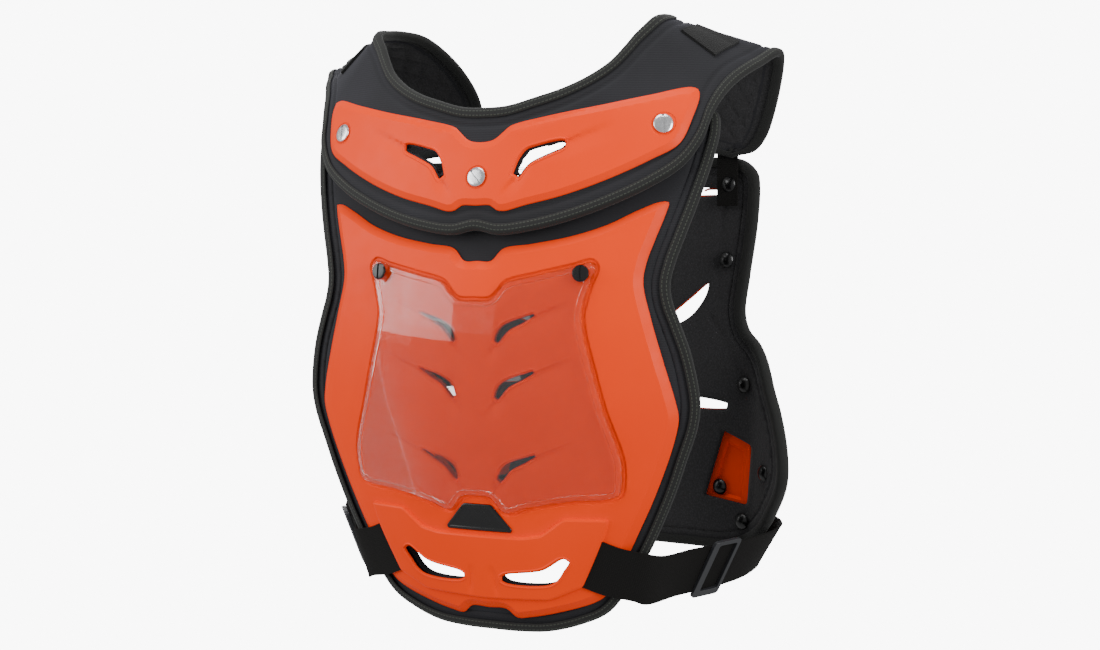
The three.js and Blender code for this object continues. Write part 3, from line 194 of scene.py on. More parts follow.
def inset_loop(points, by):
    """The loop moved inward. Stretches that would cross over are drawn to one corner instead."""
    p = np.asarray(points, float)
    q = grown(p, -by)
    bad = gaps(q, p) < 0.96 * abs(by)
    if not bad.any() or bad.all():
        return q
    n = len(p)
    i = int(np.argmin(bad))
    last = i + n
    while i < last:
        j = i
        while bad[j % n]:
            j += 1
        if j > i:
            a, b = (i - 1) % n, j % n
            corner = crossing(q[a], q[a] - q[a - 1], q[b], q[b] - q[(b + 1) % n], 3 * abs(by))
            for k in range(i, j):
                t = 2 * (k - i + 1) / (j - i + 1)
                start, end, t = (q[a], corner, t) if t < 1 else (corner, q[b], t - 1)
                q[k % n] = start + (end - start) * t
        i = j + 1
    return q


def both_sides(points):
    return [np.asarray(points), np.asarray(points) * (-1, 1)]


# Width, height, and how far the bottom lies below the origin
CHEST_PAD_BOX = 406, 470, 530
BACK_PAD_BOX = 482, 381, 479
CHEST_PLATE_BOX = 354, 375, 518
YOKE_PLATE_BOX = 368, 108, 151
BACK_PLATE_BOX = 400, 350, 462
WINDOW_BOX = 262, 223, 418
BADGE_BOX = 66, 25, 436
CHEST_PAD = (
    (0, 0.809), (0.15, 0.811), (0.30, 0.817), (0.43, 0.840), (0.55, 0.880), (0.66, 0.928),
    (0.78, 0.979), (0.89, 1.0), (0.962, 0.985), (0.978, 0.955), (0.962, 0.90), (0.915, 0.817),
    (0.88, 0.766), (0.842, 0.711), (0.826, 0.672), (0.836, 0.64), (0.868, 0.601),
    (0.912, 0.544), (0.941, 0.48), (0.946, 0.444), (0.932, 0.406), (0.888, 0.35),
    (0.829, 0.278), (0.717, 0.17), (0.60, 0.085), (0.522, 0.045), (0.41, 0.021),
    (0.27, 0.004), (0.14, 0), (0, 0),
)
BACK_PAD = (
    (0, 0.911), (0.171, 0.921), (0.332, 0.969), (0.436, 0.995), (0.622, 1.0), (0.767, 0.99),
    (0.82, 0.961), (0.83, 0.932), (0.822, 0.837), (0.788, 0.698), (0.77, 0.61),
    (0.79, 0.565), (0.842, 0.53), (0.884, 0.486), (0.919, 0.425), (0.959, 0.367),
    (0.995, 0.28), (0.996, 0.205), (0.942, 0.125), (0.863, 0.055), (0.755, 0.013),
    (0.5, 0), (0, 0),
)
CHEST_PLATE = (
    (0, 0.862), (0.073, 0.862), (0.136, 0.891), (0.282, 0.902), (0.48, 0.920), (0.65, 0.946),
    (0.79, 0.979), (0.893, 0.999), (0.932, 0.998), (0.924, 0.975), (0.881, 0.912),
    (0.847, 0.859), (0.836, 0.814), (0.876, 0.731), (0.932, 0.636), (0.989, 0.537),
    (1.0, 0.5), (0.977, 0.447), (0.91, 0.356), (0.825, 0.261), (0.618, 0.072),
    (0.56, 0.05), (0.367, 0.019), (0.215, 0.003), (0.153, 0), (0.096, 0.021), (0, 0.021),
)
YOKE_PLATE = (
    (0, 0.565), (0.065, 0.583), (0.114, 0.648), (0.147, 0.694), (0.326, 0.769),
    (0.571, 0.852), (0.788, 0.935), (0.957, 1.0), (0.989, 0.981), (1.0, 0.917),
    (0.984, 0.75), (0.94, 0.537), (0.821, 0.407), (0.62, 0.241), (0.424, 0.12),
    (0.25, 0.046), (0.147, 0), (0.109, 0.009), (0.076, 0.046), (0, 0.046),
)
BACK_PLATE = (
    (0, 0.863), (0.15, 0.869), (0.3, 0.915), (0.6, 0.94), (0.86, 0.975), (0.92, 0.955),
    (0.92, 0.85), (0.89, 0.75), (0.855, 0.62), (0.845, 0.577), (0.885, 0.506),
    (0.96, 0.391), (0.975, 0.32), (0.97, 0.106), (0.92, 0.026), (0.8, 0), (0, 0),
)
WINDOW = (
    (0, 0.848), (0.122, 0.852), (0.183, 0.883), (0.229, 0.915), (0.458, 0.951),
    (0.687, 0.982), (0.809, 1.0), (0.84, 0.978), (0.809, 0.924), (0.771, 0.843),
    (0.755, 0.789), (0.771, 0.717), (0.832, 0.574), (0.901, 0.417), (0.977, 0.283),
    (1.0, 0.224), (1.0, 0.148), (0.969, 0.085), (0.656, 0.058), (0.382, 0.027),
    (0.206, 0), (0.107, 0.058), (0, 0.063),
)
BELLY = (
    (0, 0.207), (0.237, 0.207), (0.333, 0.215), (0.452, 0.258), (0.66, 0.258),
    (0.627, 0.207), (0.514, 0.091), (0.345, 0.055), (0, 0.05),
)
BADGE = ((0, 1), (0.38, 1), (0.46, 0.93), (0.98, 0.12), (0.94, 0), (0, 0))
CHEST_VENT = (
    (1, 1), (0.66, 0.87), (0.38, 0.74), (0.18, 0.6), (0.06, 0.42), (0, 0.05), (0.08, 0.08),
    (0.36, 0.48), (0.66, 0.7),
)
YOKE_VENT = (
    (0.96, 1), (1, 0.91), (0.96, 0.82), (0.67, 0.64), (0.31, 0.39), (0.07, 0), (0, 0.06),
    (0.04, 0.32), (0.12, 0.58), (0.24, 0.78), (0.4, 0.86),
)
BELLY_VENT = (
    (0.94, 1), (1, 0.88), (0.92, 0.56), (0.82, 0.2), (0.68, 0), (0.06, 0), (0, 0.14),
    (0.06, 0.28), (0.62, 0.54),
)
BACK_SLITS = (
    ((0.498, 0.923), (0.68, 0.921), (0.69, 0.916), (0.68, 0.911), (0.498, 0.909)),
    ((0.61, 0.682), (0.602, 0.655), (0.545, 0.605), (0.48, 0.578), (0.4, 0.566),
     (0.4, 0.585), (0.45, 0.606), (0.52, 0.64)),
    ((0.46, 0.382), (0.71, 0.374), (0.715, 0.367), (0.7, 0.362), (0.46, 0.366)),
)
BACK_WINDOWS = (
    ((0.69, 0.304), (0.815, 0.274), (0.795, 0.122), (0.606, 0.134)),
    ((0.158, 0.307), (0.266, 0.286), (0.266, 0.202), (0.183, 0.212)),
)


def vent(rows, inner, reach, rise, bottom, step=1.6):
    """A vent that reaches outward from its inner end and rises from its bottom."""
    return smooth_loop([(inner + out * reach, up * rise - bottom) for out, up in rows], step)


CHEST_VENT_BOTTOMS = (269, 319, 393)
VENT_INNER, VENT_REACH, VENT_RISE = 19, 39, 29
chest_vents = []
for bottom in CHEST_VENT_BOTTOMS:
    chest_vents += both_sides(vent(CHEST_VENT, VENT_INNER, VENT_REACH, VENT_RISE, bottom))
belly_vents = both_sides(vent(BELLY_VENT, 18, 63, 25, 483))
yoke_vents = both_sides(vent(YOKE_VENT, 34, 45, 33, 123))


def corner_cut(points, radius, step):
    """Loop with straight sides and rounded corners."""
    p = np.asarray(points, float)
    made = []
    for i in range(len(p)):
        before, here, after = p[i - 1], p[i], p[(i + 1) % len(p)]
        a = here + unit(before - here) * radius
        b = here + unit(after - here) * radius
        for t in (0, 0.25, 0.5, 0.75, 1):
            made.append((1 - t) ** 2 * a + 2 * t * (1 - t) * here + t ** 2 * b)
        nxt = after + (here - after) / norm(after - here) * radius
        count = max(1, round(float(norm(nxt - b)) / step))
        made += [b + (nxt - b) * k / count for k in range(1, count)]
    return np.array(made)


print("vents:", len(chest_vents) + len(belly_vents) + len(yoke_vents))

# %% [markdown]
# ## From a flat outline to a moulded piece
# Each step of an inset is a ring of faces at another height, which makes rolled rims and the lips
# of openings. The middle is filled, cut by a grid of planes and laid on the body form. A copy of
# the face, extruded inward, gives the wall.

# %% Flat work with bmesh operators


def flat_face(bm, points, height=0.0):
    """A flat face that looks forward, at a height in front of the piece's own face."""
    face = bm.faces.new([bm.verts.new((x, -height, z)) for x, z in points])
    face.normal_update()
    if face.normal.y > 0:
        face.normal_flip()
    return face


def stepped(bm, face, steps):
    """Insets the face once for each (width, rise)."""
    for width, rise in steps:
        bmesh.ops.inset_region(bm, faces=[face], thickness=0, depth=0, use_boundary=True)
        flat = [(v.co.x, v.co.z) for v in face.verts]
        for v, (x, z) in zip(face.verts, inset_loop(flat, width)):
            v.co = x, v.co.y - rise, z
    bm.normal_update()
    return face


def ringed(bm, points, height, steps):
    """A stepped face and the edges round it, for the face about it to be filled up to."""
    before = set(bm.edges)
    face = stepped(bm, flat_face(bm, points, height), steps)
    return face, [e for e in bm.edges if e not in before and e.is_boundary]


def everything(bm):
    return bm.verts[:] + bm.edges[:] + bm.faces[:]


def opened(bm, face):
    edges = face.edges[:]
    bmesh.ops.delete(bm, geom=[face], context="FACES_ONLY")
    return edges


def rimmed(points, height, rim):
    """New flat work with a rim, and the edges of the opening inside it."""
    bm = bmesh.new()
    return bm, opened(bm, stepped(bm, flat_face(bm, points, height), rim))


def cut_across(bm, axis, place):
    """Cuts every face that crosses a plane at a place on an axis."""
    spot, normal = [0, 0, 0], [0, 0, 0]
    spot[axis], normal[axis] = place, 1
    bmesh.ops.bisect_plane(bm, geom=everything(bm), dist=1e-3, plane_co=spot, plane_no=normal)


def filled(bm, cell, *borders):
    """Fills what the borders enclose, and cuts it every cell across and up, if one is given."""
    for edges in borders:
        bmesh.ops.triangle_fill(bm, use_beauty=True, use_dissolve=False, edges=edges,
                                normal=(0, -1, 0))
    for axis in (0, 2) if cell else ():
        places = [v.co[axis] for v in bm.verts]
        for k in range(math.ceil(min(places) / cell), math.floor(max(places) / cell) + 1):
            cut_across(bm, axis, k * cell)
    bmesh.ops.triangulate(bm, faces=[f for f in bm.faces if len(f.verts) > 4])


def laid(bm, place, reliefs=()):
    """Lays the flat work on a form: place(x, z, lift) is its depth, each relief adds height."""
    co = np.array([v.co for v in bm.verts])
    x, z = co[:, 0], co[:, 2]
    height = sum(relief(x, z) for relief in reliefs) - co[:, 1]
    for v, y in zip(bm.verts, place(x, z, height)):
        v.co.y = y


def above(form, lift):
    """The form at a lift, for flat work to be laid on."""
    return lambda x, z, height: form(x, z, lift + height)


def walled(bm, thickness, way=None):
    """The face stays, and a copy of it goes inward, or one way, and is joined to it all round."""
    bm.normal_update()
    behind = [(v, v.co + Vector(way or -v.normal) * thickness) for v in bm.verts]
    bmesh.ops.extrude_face_region(bm, geom=everything(bm), use_keep_orig=True)
    for v, co in behind:
        v.co = co
    bmesh.ops.recalc_face_normals(bm, faces=bm.faces[:])


def finished(name, bm, look, stands_for=(), sharp=32):
    """Turns millimetres to metres and makes the piece an object that rides on the frame."""
    bmesh.ops.scale(bm, vec=(0.001, 0.001, 0.001), verts=bm.verts[:])
    mesh = bpy.data.meshes.new(name)
    bm.to_mesh(mesh)
    bm.free()
    mesh.polygons.foreach_set("use_smooth", [True] * len(mesh.polygons))
    mesh.set_sharp_from_angle(angle=math.radians(sharp))
    made = bpy.data.objects.new(name, mesh)
    bpy.context.scene.collection.objects.link(made)
    mesh.materials.append(look)
    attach(made, "root")
    if stands_for:
        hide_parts(*stands_for)
    print(f"{name}: {len(mesh.polygons)} faces")
    return made


# %% [markdown]
# ## Swept pieces
# Straps, bindings and the yoke are grids whose rows are moved to stations along a path. Their UV
# map is in real lengths, so that stitches and weave follow the strip.

# %% A grid moved to stations


def stretches(points):
    """Length from each point to the next."""
    return norm(np.diff(points, axis=0), axis=1)


def woven(rows):
    """Strip through rows of points, all in mm, with a UV map in metres."""
    rows = np.array(rows, float)
    long, wide = rows.shape[0] - 1, rows.shape[1] - 1
    bm = bmesh.new()
    uv = bm.loops.layers.uv.new("UVMap")
    bmesh.ops.create_grid(bm, x_segments=long, y_segments=wide, size=1)
    lengths = np.concatenate([[0], np.cumsum(stretches(rows[:, wide // 2]))])
    across = norm(np.diff(rows, axis=1), axis=2).mean(0)
    widths = np.concatenate([[0], np.cumsum(across)])
    place = {}
    for v in bm.verts:
        i = round((v.co.x + 1) / 2 * long)
        j = round((v.co.y + 1) / 2 * wide)
        place[v] = i, j
    for face in bm.faces:
        for loop in face.loops:
            i, j = place[loop.vert]
            loop[uv].uv = lengths[i] / 1000, widths[j] / 1000
    for v, (i, j) in place.items():
        v.co = rows[i, j]
    return bm


def closed(bm):
    bmesh.ops.remove_doubles(bm, verts=bm.verts[:], dist=1e-3)
    bmesh.ops.recalc_face_normals(bm, faces=bm.faces[:])
    return bm


# %% [markdown]
# ## Materials
# Every finish has a pattern at its true scale in bump, and slow noise in colour and roughness.

# %% Material helpers


def linear(*rgb):
    shares = [c / 255 for c in rgb]
    return tuple(((c + 0.055) / 1.055) ** 2.4 if c > 0.04 else c / 12.92 for c in shares) + (1,)


def material(name, colour, roughness, **more):
    m = bpy.data.materials.new(name)
    m.use_nodes = True
    shader = m.node_tree.nodes["Principled BSDF"]
    shader.inputs["Base Color"].default_value = colour
    shader.inputs["Roughness"].default_value = roughness
    for key, value in more.items():
        shader.inputs[key.replace("_", " ").title().replace("Ior", "IOR")].default_value = value
    return m


def node(m, kind, inputs=(), **settings):
    made = m.node_tree.nodes.new("ShaderNode" + kind)
    for key, value in settings.items():
        setattr(made, key, value)
    for key, value in dict(inputs).items():
        if isinstance(value, bpy.types.NodeSocket):
            m.node_tree.links.new(value, made.inputs[key])
        else:
            made.inputs[key].default_value = value
    return made


def coordinates(m, kind="Object"):
    return node(m, "TexCoord").outputs[kind]


def noise(m, where, scale, detail=3.0):
    return node(m, "TexNoise", {"Vector": where, "Scale": scale, "Detail": detail}).outputs["Fac"]


def wave(m, where, scale, direction="X", profile="SIN", distortion=0.0):
    return node(m, "TexWave", {"Vector": where, "Scale": scale, "Distortion": distortion},
                bands_direction=direction, wave_profile=profile).outputs["Fac"]


def maths(m, operation, a, b=0.0):
    return node(m, "Math", {0: a, 1: b}, operation=operation).outputs[0]


def ranged(m, value, low, high, to_low=0.0, to_high=1.0):
    return node(m, "MapRange", {"Value": value, "From Min": low, "From Max": high,
                                "To Min": to_low, "To Max": to_high}).outputs["Result"]


def varied(m, where, scale, low=0.0, high=1.0):
    """Slow noise between two values."""
    return ranged(m, noise(m, where, scale), 0.3, 0.7, low, high)


def mixed(m, share, a, b):
    made = node(m, "Mix", data_type="RGBA")
    for socket, value in zip((made.inputs[0], made.inputs[6], made.inputs[7]), (share, a, b)):
        if isinstance(value, bpy.types.NodeSocket):
            m.node_tree.links.new(value, socket)
        else:
            socket.default_value = value
    return made.outputs[2]


def feed(m, key, value):
    m.node_tree.links.new(value, m.node_tree.nodes["Principled BSDF"].inputs[key])


def bumped(m, height, distance, strength=1.0):
    """Adds a bump on top of those the material already has."""
    before = m.node_tree.nodes["Principled BSDF"].inputs["Normal"].links
    inputs = {"Height": height, "Distance": distance, "Strength": strength}
    if before:
        inputs["Normal"] = before[0].from_socket
    feed(m, "Normal", node(m, "Bump", inputs).outputs["Normal"])


# %% Orange shell plastic
shell = material("satin_orange_plastic", (0.95, 0.05, 0.0, 1), 0.40, specular_ior_level=0.12)
where = coordinates(shell)
cloudy = varied(shell, where, 9.0)
feed(shell, "Base Color", mixed(shell, cloudy, (0.92, 0.047, 0.0, 1), (0.97, 0.054, 0.0, 1)))
feed(shell, "Roughness", varied(shell, where, 60.0, 0.34, 0.46))
bumped(shell, noise(shell, where, 900.0, 2.0), 0.00012, 0.25)

# %% Ribbed neoprene
foam = material("ribbed_neoprene", linear(20, 20, 25), 0.86, sheen_weight=0.12, sheen_roughness=0.5)
foam.node_tree.nodes["Principled BSDF"].inputs["Sheen Tint"].default_value = linear(150, 150, 175)
where = coordinates(foam)
ribs = wave(foam, where, 150.0, "Z", distortion=0.6)
fuzz = noise(foam, where, 420.0, 4.0)
faded = varied(foam, where, 14.0)
feed(foam, "Base Color", mixed(foam, faded, linear(15, 15, 19), linear(24, 24, 29)))
bumped(foam, ribs, 0.00018, 0.55)
bumped(foam, fuzz, 0.0003, 0.4)

# %% Quilted lining and mesh
lining = material("lining_mesh", linear(22, 21, 24), 0.92, sheen_weight=0.12, sheen_roughness=0.6)
where = coordinates(lining)
cells = node(lining, "TexVoronoi", {"Vector": where, "Scale": 520.0}).outputs["Distance"]
open_mesh = ranged(lining, cells, 0.1, 0.6)
feed(lining, "Base Color", mixed(lining, open_mesh, linear(38, 37, 40), linear(20, 19, 22)))
bumped(lining, cells, 0.0005, 0.5)
bumped(lining, noise(lining, where, 70.0), 0.0010, 0.35)

# %% Binding tape with two rows of stitches
tape = material("stitched_tape", linear(30, 31, 27), 0.88, sheen_weight=0.1, sheen_roughness=0.5)
where = coordinates(tape, "UV")
parts = node(tape, "SeparateXYZ", {"Vector": where})
tape_along, tape_across = parts.outputs["X"], parts.outputs["Y"]
weave = maths(tape, "MULTIPLY", wave(tape, where, 300.0, "X"), wave(tape, where, 340.0, "Y"))
bumped(tape, weave, 0.00025, 0.6)


def stitch_row(m, along, across, place, pitch, half):
    """1 on a dashed line at a place across the tape, 0 elsewhere."""
    aside = maths(m, "ABSOLUTE", maths(m, "SUBTRACT", across, place))
    line = ranged(m, aside, half * 0.6, half, 1.0, 0.0)
    dash = ranged(m, maths(m, "FRACT", maths(m, "DIVIDE", along, pitch)), 0.62, 0.7, 1.0, 0.0)
    return maths(m, "MULTIPLY", line, dash)


STITCH_ROWS = (0.0022, 0.0062)
STITCH_PITCH, STITCH_HALF_WIDTH = 0.0034, 0.00055
stitches = maths(tape, "MAXIMUM", *(
    stitch_row(tape, tape_along, tape_across, place, STITCH_PITCH, STITCH_HALF_WIDTH)
    for place in STITCH_ROWS))
feed(tape, "Base Color", mixed(tape, stitches, linear(15, 16, 14), linear(56, 60, 52)))
bumped(tape, stitches, 0.0005, 0.7)


# %% Webbing, hook-and-loop, black plastic, steel and clear sheet
webbing = material("strap_webbing", linear(13, 11, 10), 0.85, specular_ior_level=0.25)
where = coordinates(webbing, "UV")
ribs_across, ribs_along = wave(webbing, where, 210.0, "Y"), wave(webbing, where, 165.0, "X")
ribbed = maths(webbing, "MULTIPLY", ribs_across, ribs_along)
feed(webbing, "Base Color", mixed(webbing, ribbed, linear(8, 7, 6), linear(17, 14, 12)))
bumped(webbing, ribbed, 0.0005, 0.6)

loops = material("hook_and_loop", linear(4, 4, 4), 0.97, sheen_weight=0.04, sheen_roughness=0.7)
where = coordinates(loops)
pile = node(loops, "TexVoronoi", {"Vector": where, "Scale": 900.0}).outputs["Distance"]
bumped(loops, pile, 0.0012, 0.9)
bumped(loops, noise(loops, where, 260.0, 4.0), 0.0010, 0.6)


def grained(name, colour, roughness, spots, low, high, grain, depth, detail=2.0, **more):
    """A smooth finish whose roughness is uneven, with a fine grain."""
    m = material(name, colour, roughness, **more)
    where = coordinates(m)
    feed(m, "Roughness", varied(m, where, spots, low, high))
    bumped(m, noise(m, where, grain, detail), depth, 0.3)
    return m


black = grained("black_plastic", linear(11, 11, 12), 0.26, 120.0, 0.22, 0.32, 1400.0, 0.0001)
steel = grained("polished_steel", linear(214, 215, 217), 0.24, 500.0, 0.16, 0.32, 1800.0, 0.00005,
                1.0, metallic=1.0)
grey = grained("grey_plastic", linear(46, 47, 50), 0.32, 120.0, 0.27, 0.38, 1400.0, 0.0001)
clear = material("clear_sheet", linear(253, 250, 249), 0.01, ior=1.49, transmission_weight=1.0,
                 alpha=0.62)
where = coordinates(clear)
feed(clear, "Roughness", varied(clear, where, 30.0, 0.0, 0.015))
print("materials:", len(bpy.data.materials))

# %% [markdown]
# ## Relief
# A moulded crease is a line on the flat piece. The height drops at one side of it and comes back
# slowly, and the crease fades out at its ends.

# %% Relief from lines


def near(line, x, z):
    """Distance to a broken line, the share along it, and the side of it, left positive."""
    best, share, side = np.full(x.shape, 1e9), np.zeros(x.shape), np.zeros(x.shape)
    steps = [math.dist(a, b) for a, b in zip(line, line[1:])]
    gone = 0.0
    for (ax, az), (bx, bz), length in zip(line, line[1:], steps):
        ux, uz = (bx - ax) / length, (bz - az) / length
        t = np.clip((x - ax) * ux + (z - az) * uz, 0, length)
        dx, dz = x - ax - t * ux, z - az - t * uz
        d = np.hypot(dx, dz)
        closer = d < best
        best = np.where(closer, d, best)
        share = np.where(closer, (gone + t) / sum(steps), share)
        side = np.where(closer, np.sign(ux * dz - uz * dx), side)
        gone += length
    return best, share, side


def fading(share, start, end):
    return np.clip(share / start, 0, 1) * np.clip((1 - share) / end, 0, 1)


def groove(distance, side, width):
    return np.exp(-(distance / width) ** 2)


LIP = 2.4


def scoop(distance, side, reach, toward):
    """Drops at one side of the line and comes back over its reach."""
    inside = np.where(side * toward > 0, distance, 0)
    return np.clip(inside / LIP, 0, 1) * np.clip(1 - (inside - LIP) / reach, 0, 1)


def mirrored(shape, line, depth, *sizes, start=0.15, end=0.3):
    """Reliefs that press the shape in along the line, and along its mirror image."""
    def relief(x, z):
        distance, share, side = near(line, x, z)
        return -depth * shape(distance, side, *sizes) * fading(share, start, end)
    return [relief, lambda x, z: relief(-x, z)]


# %% [markdown]
# ## The chest shield
# A bevelled rim, three pairs of scooped vents, and a belly panel that stands proud, so that the
# waist strap passes out from under it.

# %% Chest shield
PLATE_LIFT, YOKE_PLATE_LIFT, WINDOW_LIFT, BADGE_LIFT = 3.05, 14.7, 9.45, 6.7
SHELL_WALL = 2.6
CREASED = 20
VENT_LIP = ((0.7, 0.5), (0.7, 0.0), (0.6, -0.6), (1.0, -1.9))


def lipped_hole(bm, points, lip, height=0.0):
    """Ring that rolls into an opening. Returns the edges of its outer side."""
    reach = sum(width for width, _ in lip)
    face, outside = ringed(bm, inset_loop(points, -reach), height, lip)
    opened(bm, face)
    return outside


plate_loop = smooth_loop(outline(CHEST_PLATE, CHEST_PLATE_BOX), 3.2)
belly_loop = corner_cut(outline(BELLY, CHEST_PLATE_BOX), 3.0, 3.2)
window_loop = smooth_loop(outline(WINDOW, WINDOW_BOX), 2.6)
PANEL = 2.0
BELLY_RISE = 3.2
bm, edges = rimmed(plate_loop, -2.8, ((0.9, 0.9), (6.0, 1.9 + PANEL)))
recess, ring = ringed(bm, inset_loop(window_loop, -3.4), PANEL, ((0.5, -0.4), (1.4, -1.6)))
edges += ring
floor_edges = opened(bm, recess)
for points in chest_vents:
    floor_edges += lipped_hole(bm, points, VENT_LIP)
belly_rim = ((1.2, 2.6), (1.3, BELLY_RISE - 2.6))
island, ring = ringed(bm, inset_loop(belly_loop, -1.2), PANEL, belly_rim)
edges += ring
top = opened(bm, island)
for points in belly_vents:
    top += lipped_hole(bm, points, VENT_LIP, PANEL + BELLY_RISE)
filled(bm, 3.0, edges, floor_edges, top)
creases = []
for bottom in CHEST_VENT_BOTTOMS:
    tip, root = (VENT_INNER + VENT_REACH, VENT_RISE - bottom), (VENT_INNER, 2 - bottom)
    upper_edge = [(26, 22 - bottom), tip, (tip[0] + 34, tip[1] + 14)]
    creases += mirrored(scoop, upper_edge, 1.7, 16, -1)
    creases += mirrored(scoop, [(21, 24 - bottom), root, (6, -14 - bottom)], 1.4, 10, 1)
creases += mirrored(groove, [(10, -468), (14, -497)], 1.2, 2.2)
laid(bm, above(chest, PLATE_LIFT), creases)
walled(bm, SHELL_WALL)
finished("chest_shield", bm, shell, ["chest_plate"], CREASED)

# %% Yoke shield
yoke_plate_loop = smooth_loop(outline(YOKE_PLATE, YOKE_PLATE_BOX), 3.0)
bm, edges = rimmed(yoke_plate_loop, -3.0, ((0.9, 0.8), (5.2, 2.2)))
for points in yoke_vents:
    edges += lipped_hole(bm, points, VENT_LIP)
YOKE_SCREWS = ((159, -76), (-159, -76), (0, -121))
circle = [(math.cos(a), math.sin(a)) for a in np.linspace(0, 2 * math.pi, 36, endpoint=False)]
for x, z in YOKE_SCREWS:
    edges += ringed(bm, [(x + 10.6 * c, z + 10.6 * s) for c, s in circle], 0.0, ((1.0, -0.9),))[1]
filled(bm, 2.8, edges)
creases = mirrored(scoop, [(52, -94), (76, -90), (120, -72)], 1.5, 14, -1)
creases += mirrored(scoop, [(44, -98), (34, -122), (22, -136)], 1.3, 10, 1)
upper_line = [(30, -79), (110, -60), (168, -46)]
creases += mirrored(groove, upper_line, 0.9, 1.8, start=0.05, end=0.1)
laid(bm, above(chest, YOKE_PLATE_LIFT), creases)
walled(bm, 2.3)
finished("yoke_shield", bm, shell, ["yoke_plate"], CREASED)

# %% Back shield
back_plate_loop = smooth_loop(outline(BACK_PLATE, BACK_PLATE_BOX), 3.4)
bm, edges = rimmed(back_plate_loop, -2.2, ((0.9, 0.9), (4.6, 1.3)))
for rows in BACK_SLITS[1:]:
    for points in both_sides(smooth_loop(placed(rows, BACK_PAD_BOX), 2.0)):
        edges += lipped_hole(bm, grown(points, -0.3), ((0.8, -0.4), (0.9, -0.9)))
dished = corner_cut(placed(BACK_WINDOWS[0], BACK_PAD_BOX), 4.0, 3.0)
for points in both_sides(inset_loop(dished, 4.0) + (-2.0, -3.0)):
    edges += ringed(bm, points, 0.0, ((2.4, 2.6),))[1]
filled(bm, 4.0, edges)
TOP_SLIT_SIDES, TOP_SLIT_ENDS = (-132.7, -127.4), (120, 165)
for z in TOP_SLIT_SIDES:
    cut_across(bm, 2, z)
for x in TOP_SLIT_ENDS:
    cut_across(bm, 0, x)
    cut_across(bm, 0, -x)
centres = [(f, f.calc_center_median()) for f in bm.faces]
notched = [f for f, c in centres if TOP_SLIT_ENDS[0] < abs(c.x) < TOP_SLIT_ENDS[1]
           and TOP_SLIT_SIDES[0] < c.z < TOP_SLIT_SIDES[1]]
bmesh.ops.delete(bm, geom=notched, context="FACES")
creases = mirrored(scoop, [(20, -190), (90, -165), (150, -150)], 1.6, 18, -1)
creases += mirrored(scoop, [(20, -290), (80, -275), (140, -270)], 1.6, 18, -1)
creases += mirrored(groove, [(40, -420), (60, -360), (130, -345)], 1.2, 2.4)
laid(bm, above(back, PLATE_LIFT), creases)
bmesh.ops.reverse_faces(bm, faces=bm.faces[:])
walled(bm, SHELL_WALL)
finished("back_shield", bm, shell, ["back_plate"])

# %% [markdown]
# ## The pads
# Foam between two fabrics, pressed thin along lines. The lines that follow the edge are inset
# rings, and the free ones are grooves in the relief.

# %% Chest pad
PAD_DEPTH = 7.0
PAD_RINGS = ((1.5, 1.2), (11.0, 0.5), (1.6, -1.5), (1.6, 1.6), (5.0, 0.5))
pad_loop = smooth_loop(outline(CHEST_PAD, CHEST_PAD_BOX), 3.6)
bm, edges = rimmed(pad_loop, -2.0, PAD_RINGS)
for points in chest_vents + belly_vents:
    hole = flat_face(bm, grown(points, 2.0), sum(rise for _, rise in PAD_RINGS) - 2.0)
    edges += opened(bm, hole)
filled(bm, 4.0, edges)


def under_shield(x, z):
    """The pad stays behind the shields where they cover it."""
    return np.where((np.abs(x) < 165) & (z < -150), -1.2, -0.9)


laid(bm, chest, [under_shield])
walled(bm, 6.4)
finished("chest_foam", bm, foam, ["chest_pad"], 60)

# %% Back pad
back_loop = smooth_loop(outline(BACK_PAD, BACK_PAD_BOX), 3.6)
FRAME_LIP = ((5.0, 0.0), (1.5, -0.8), (1.5, -1.4))
BACK_PAD_RINGS = ((1.5, 1.2), (12.0, 0.5), (1.6, -1.4), (1.6, 1.5))
bm, edges = rimmed(back_loop, -1.8, BACK_PAD_RINGS)
for rows in BACK_SLITS:
    for points in both_sides(smooth_loop(placed(rows, BACK_PAD_BOX), 2.0)):
        edges += lipped_hole(bm, points, ((1.6, -0.6), (1.2, -1.4)))
for rows in BACK_WINDOWS:
    for points in both_sides(corner_cut(placed(rows, BACK_PAD_BOX), 3.5, 3.0)):
        edges += lipped_hole(bm, points, FRAME_LIP)
filled(bm, 4.0, edges)
lines = []
for start, end in (((60, -150), (52, -300)), ((112, -140), (100, -290)), ((150, -250), (205, -330)),
                   ((165, -120), (158, -240)), ((70, -330), (140, -345))):
    lines += mirrored(groove, [start, end], 1.4, 2.8, start=0.03, end=0.05)
laid(bm, lambda x, z, h: back(x, z, 0.6 - PAD_DEPTH) - h, lines)
walled(bm, 6.3)
finished("back_foam", bm, lining, ["back_pad"], 60)

# %% [markdown]
# ## The yoke
# One pad from flap to flap over both shoulders. Its grid runs from the neck edge to the outer
# edge, as the cloth does, and the lining and the binding share it.

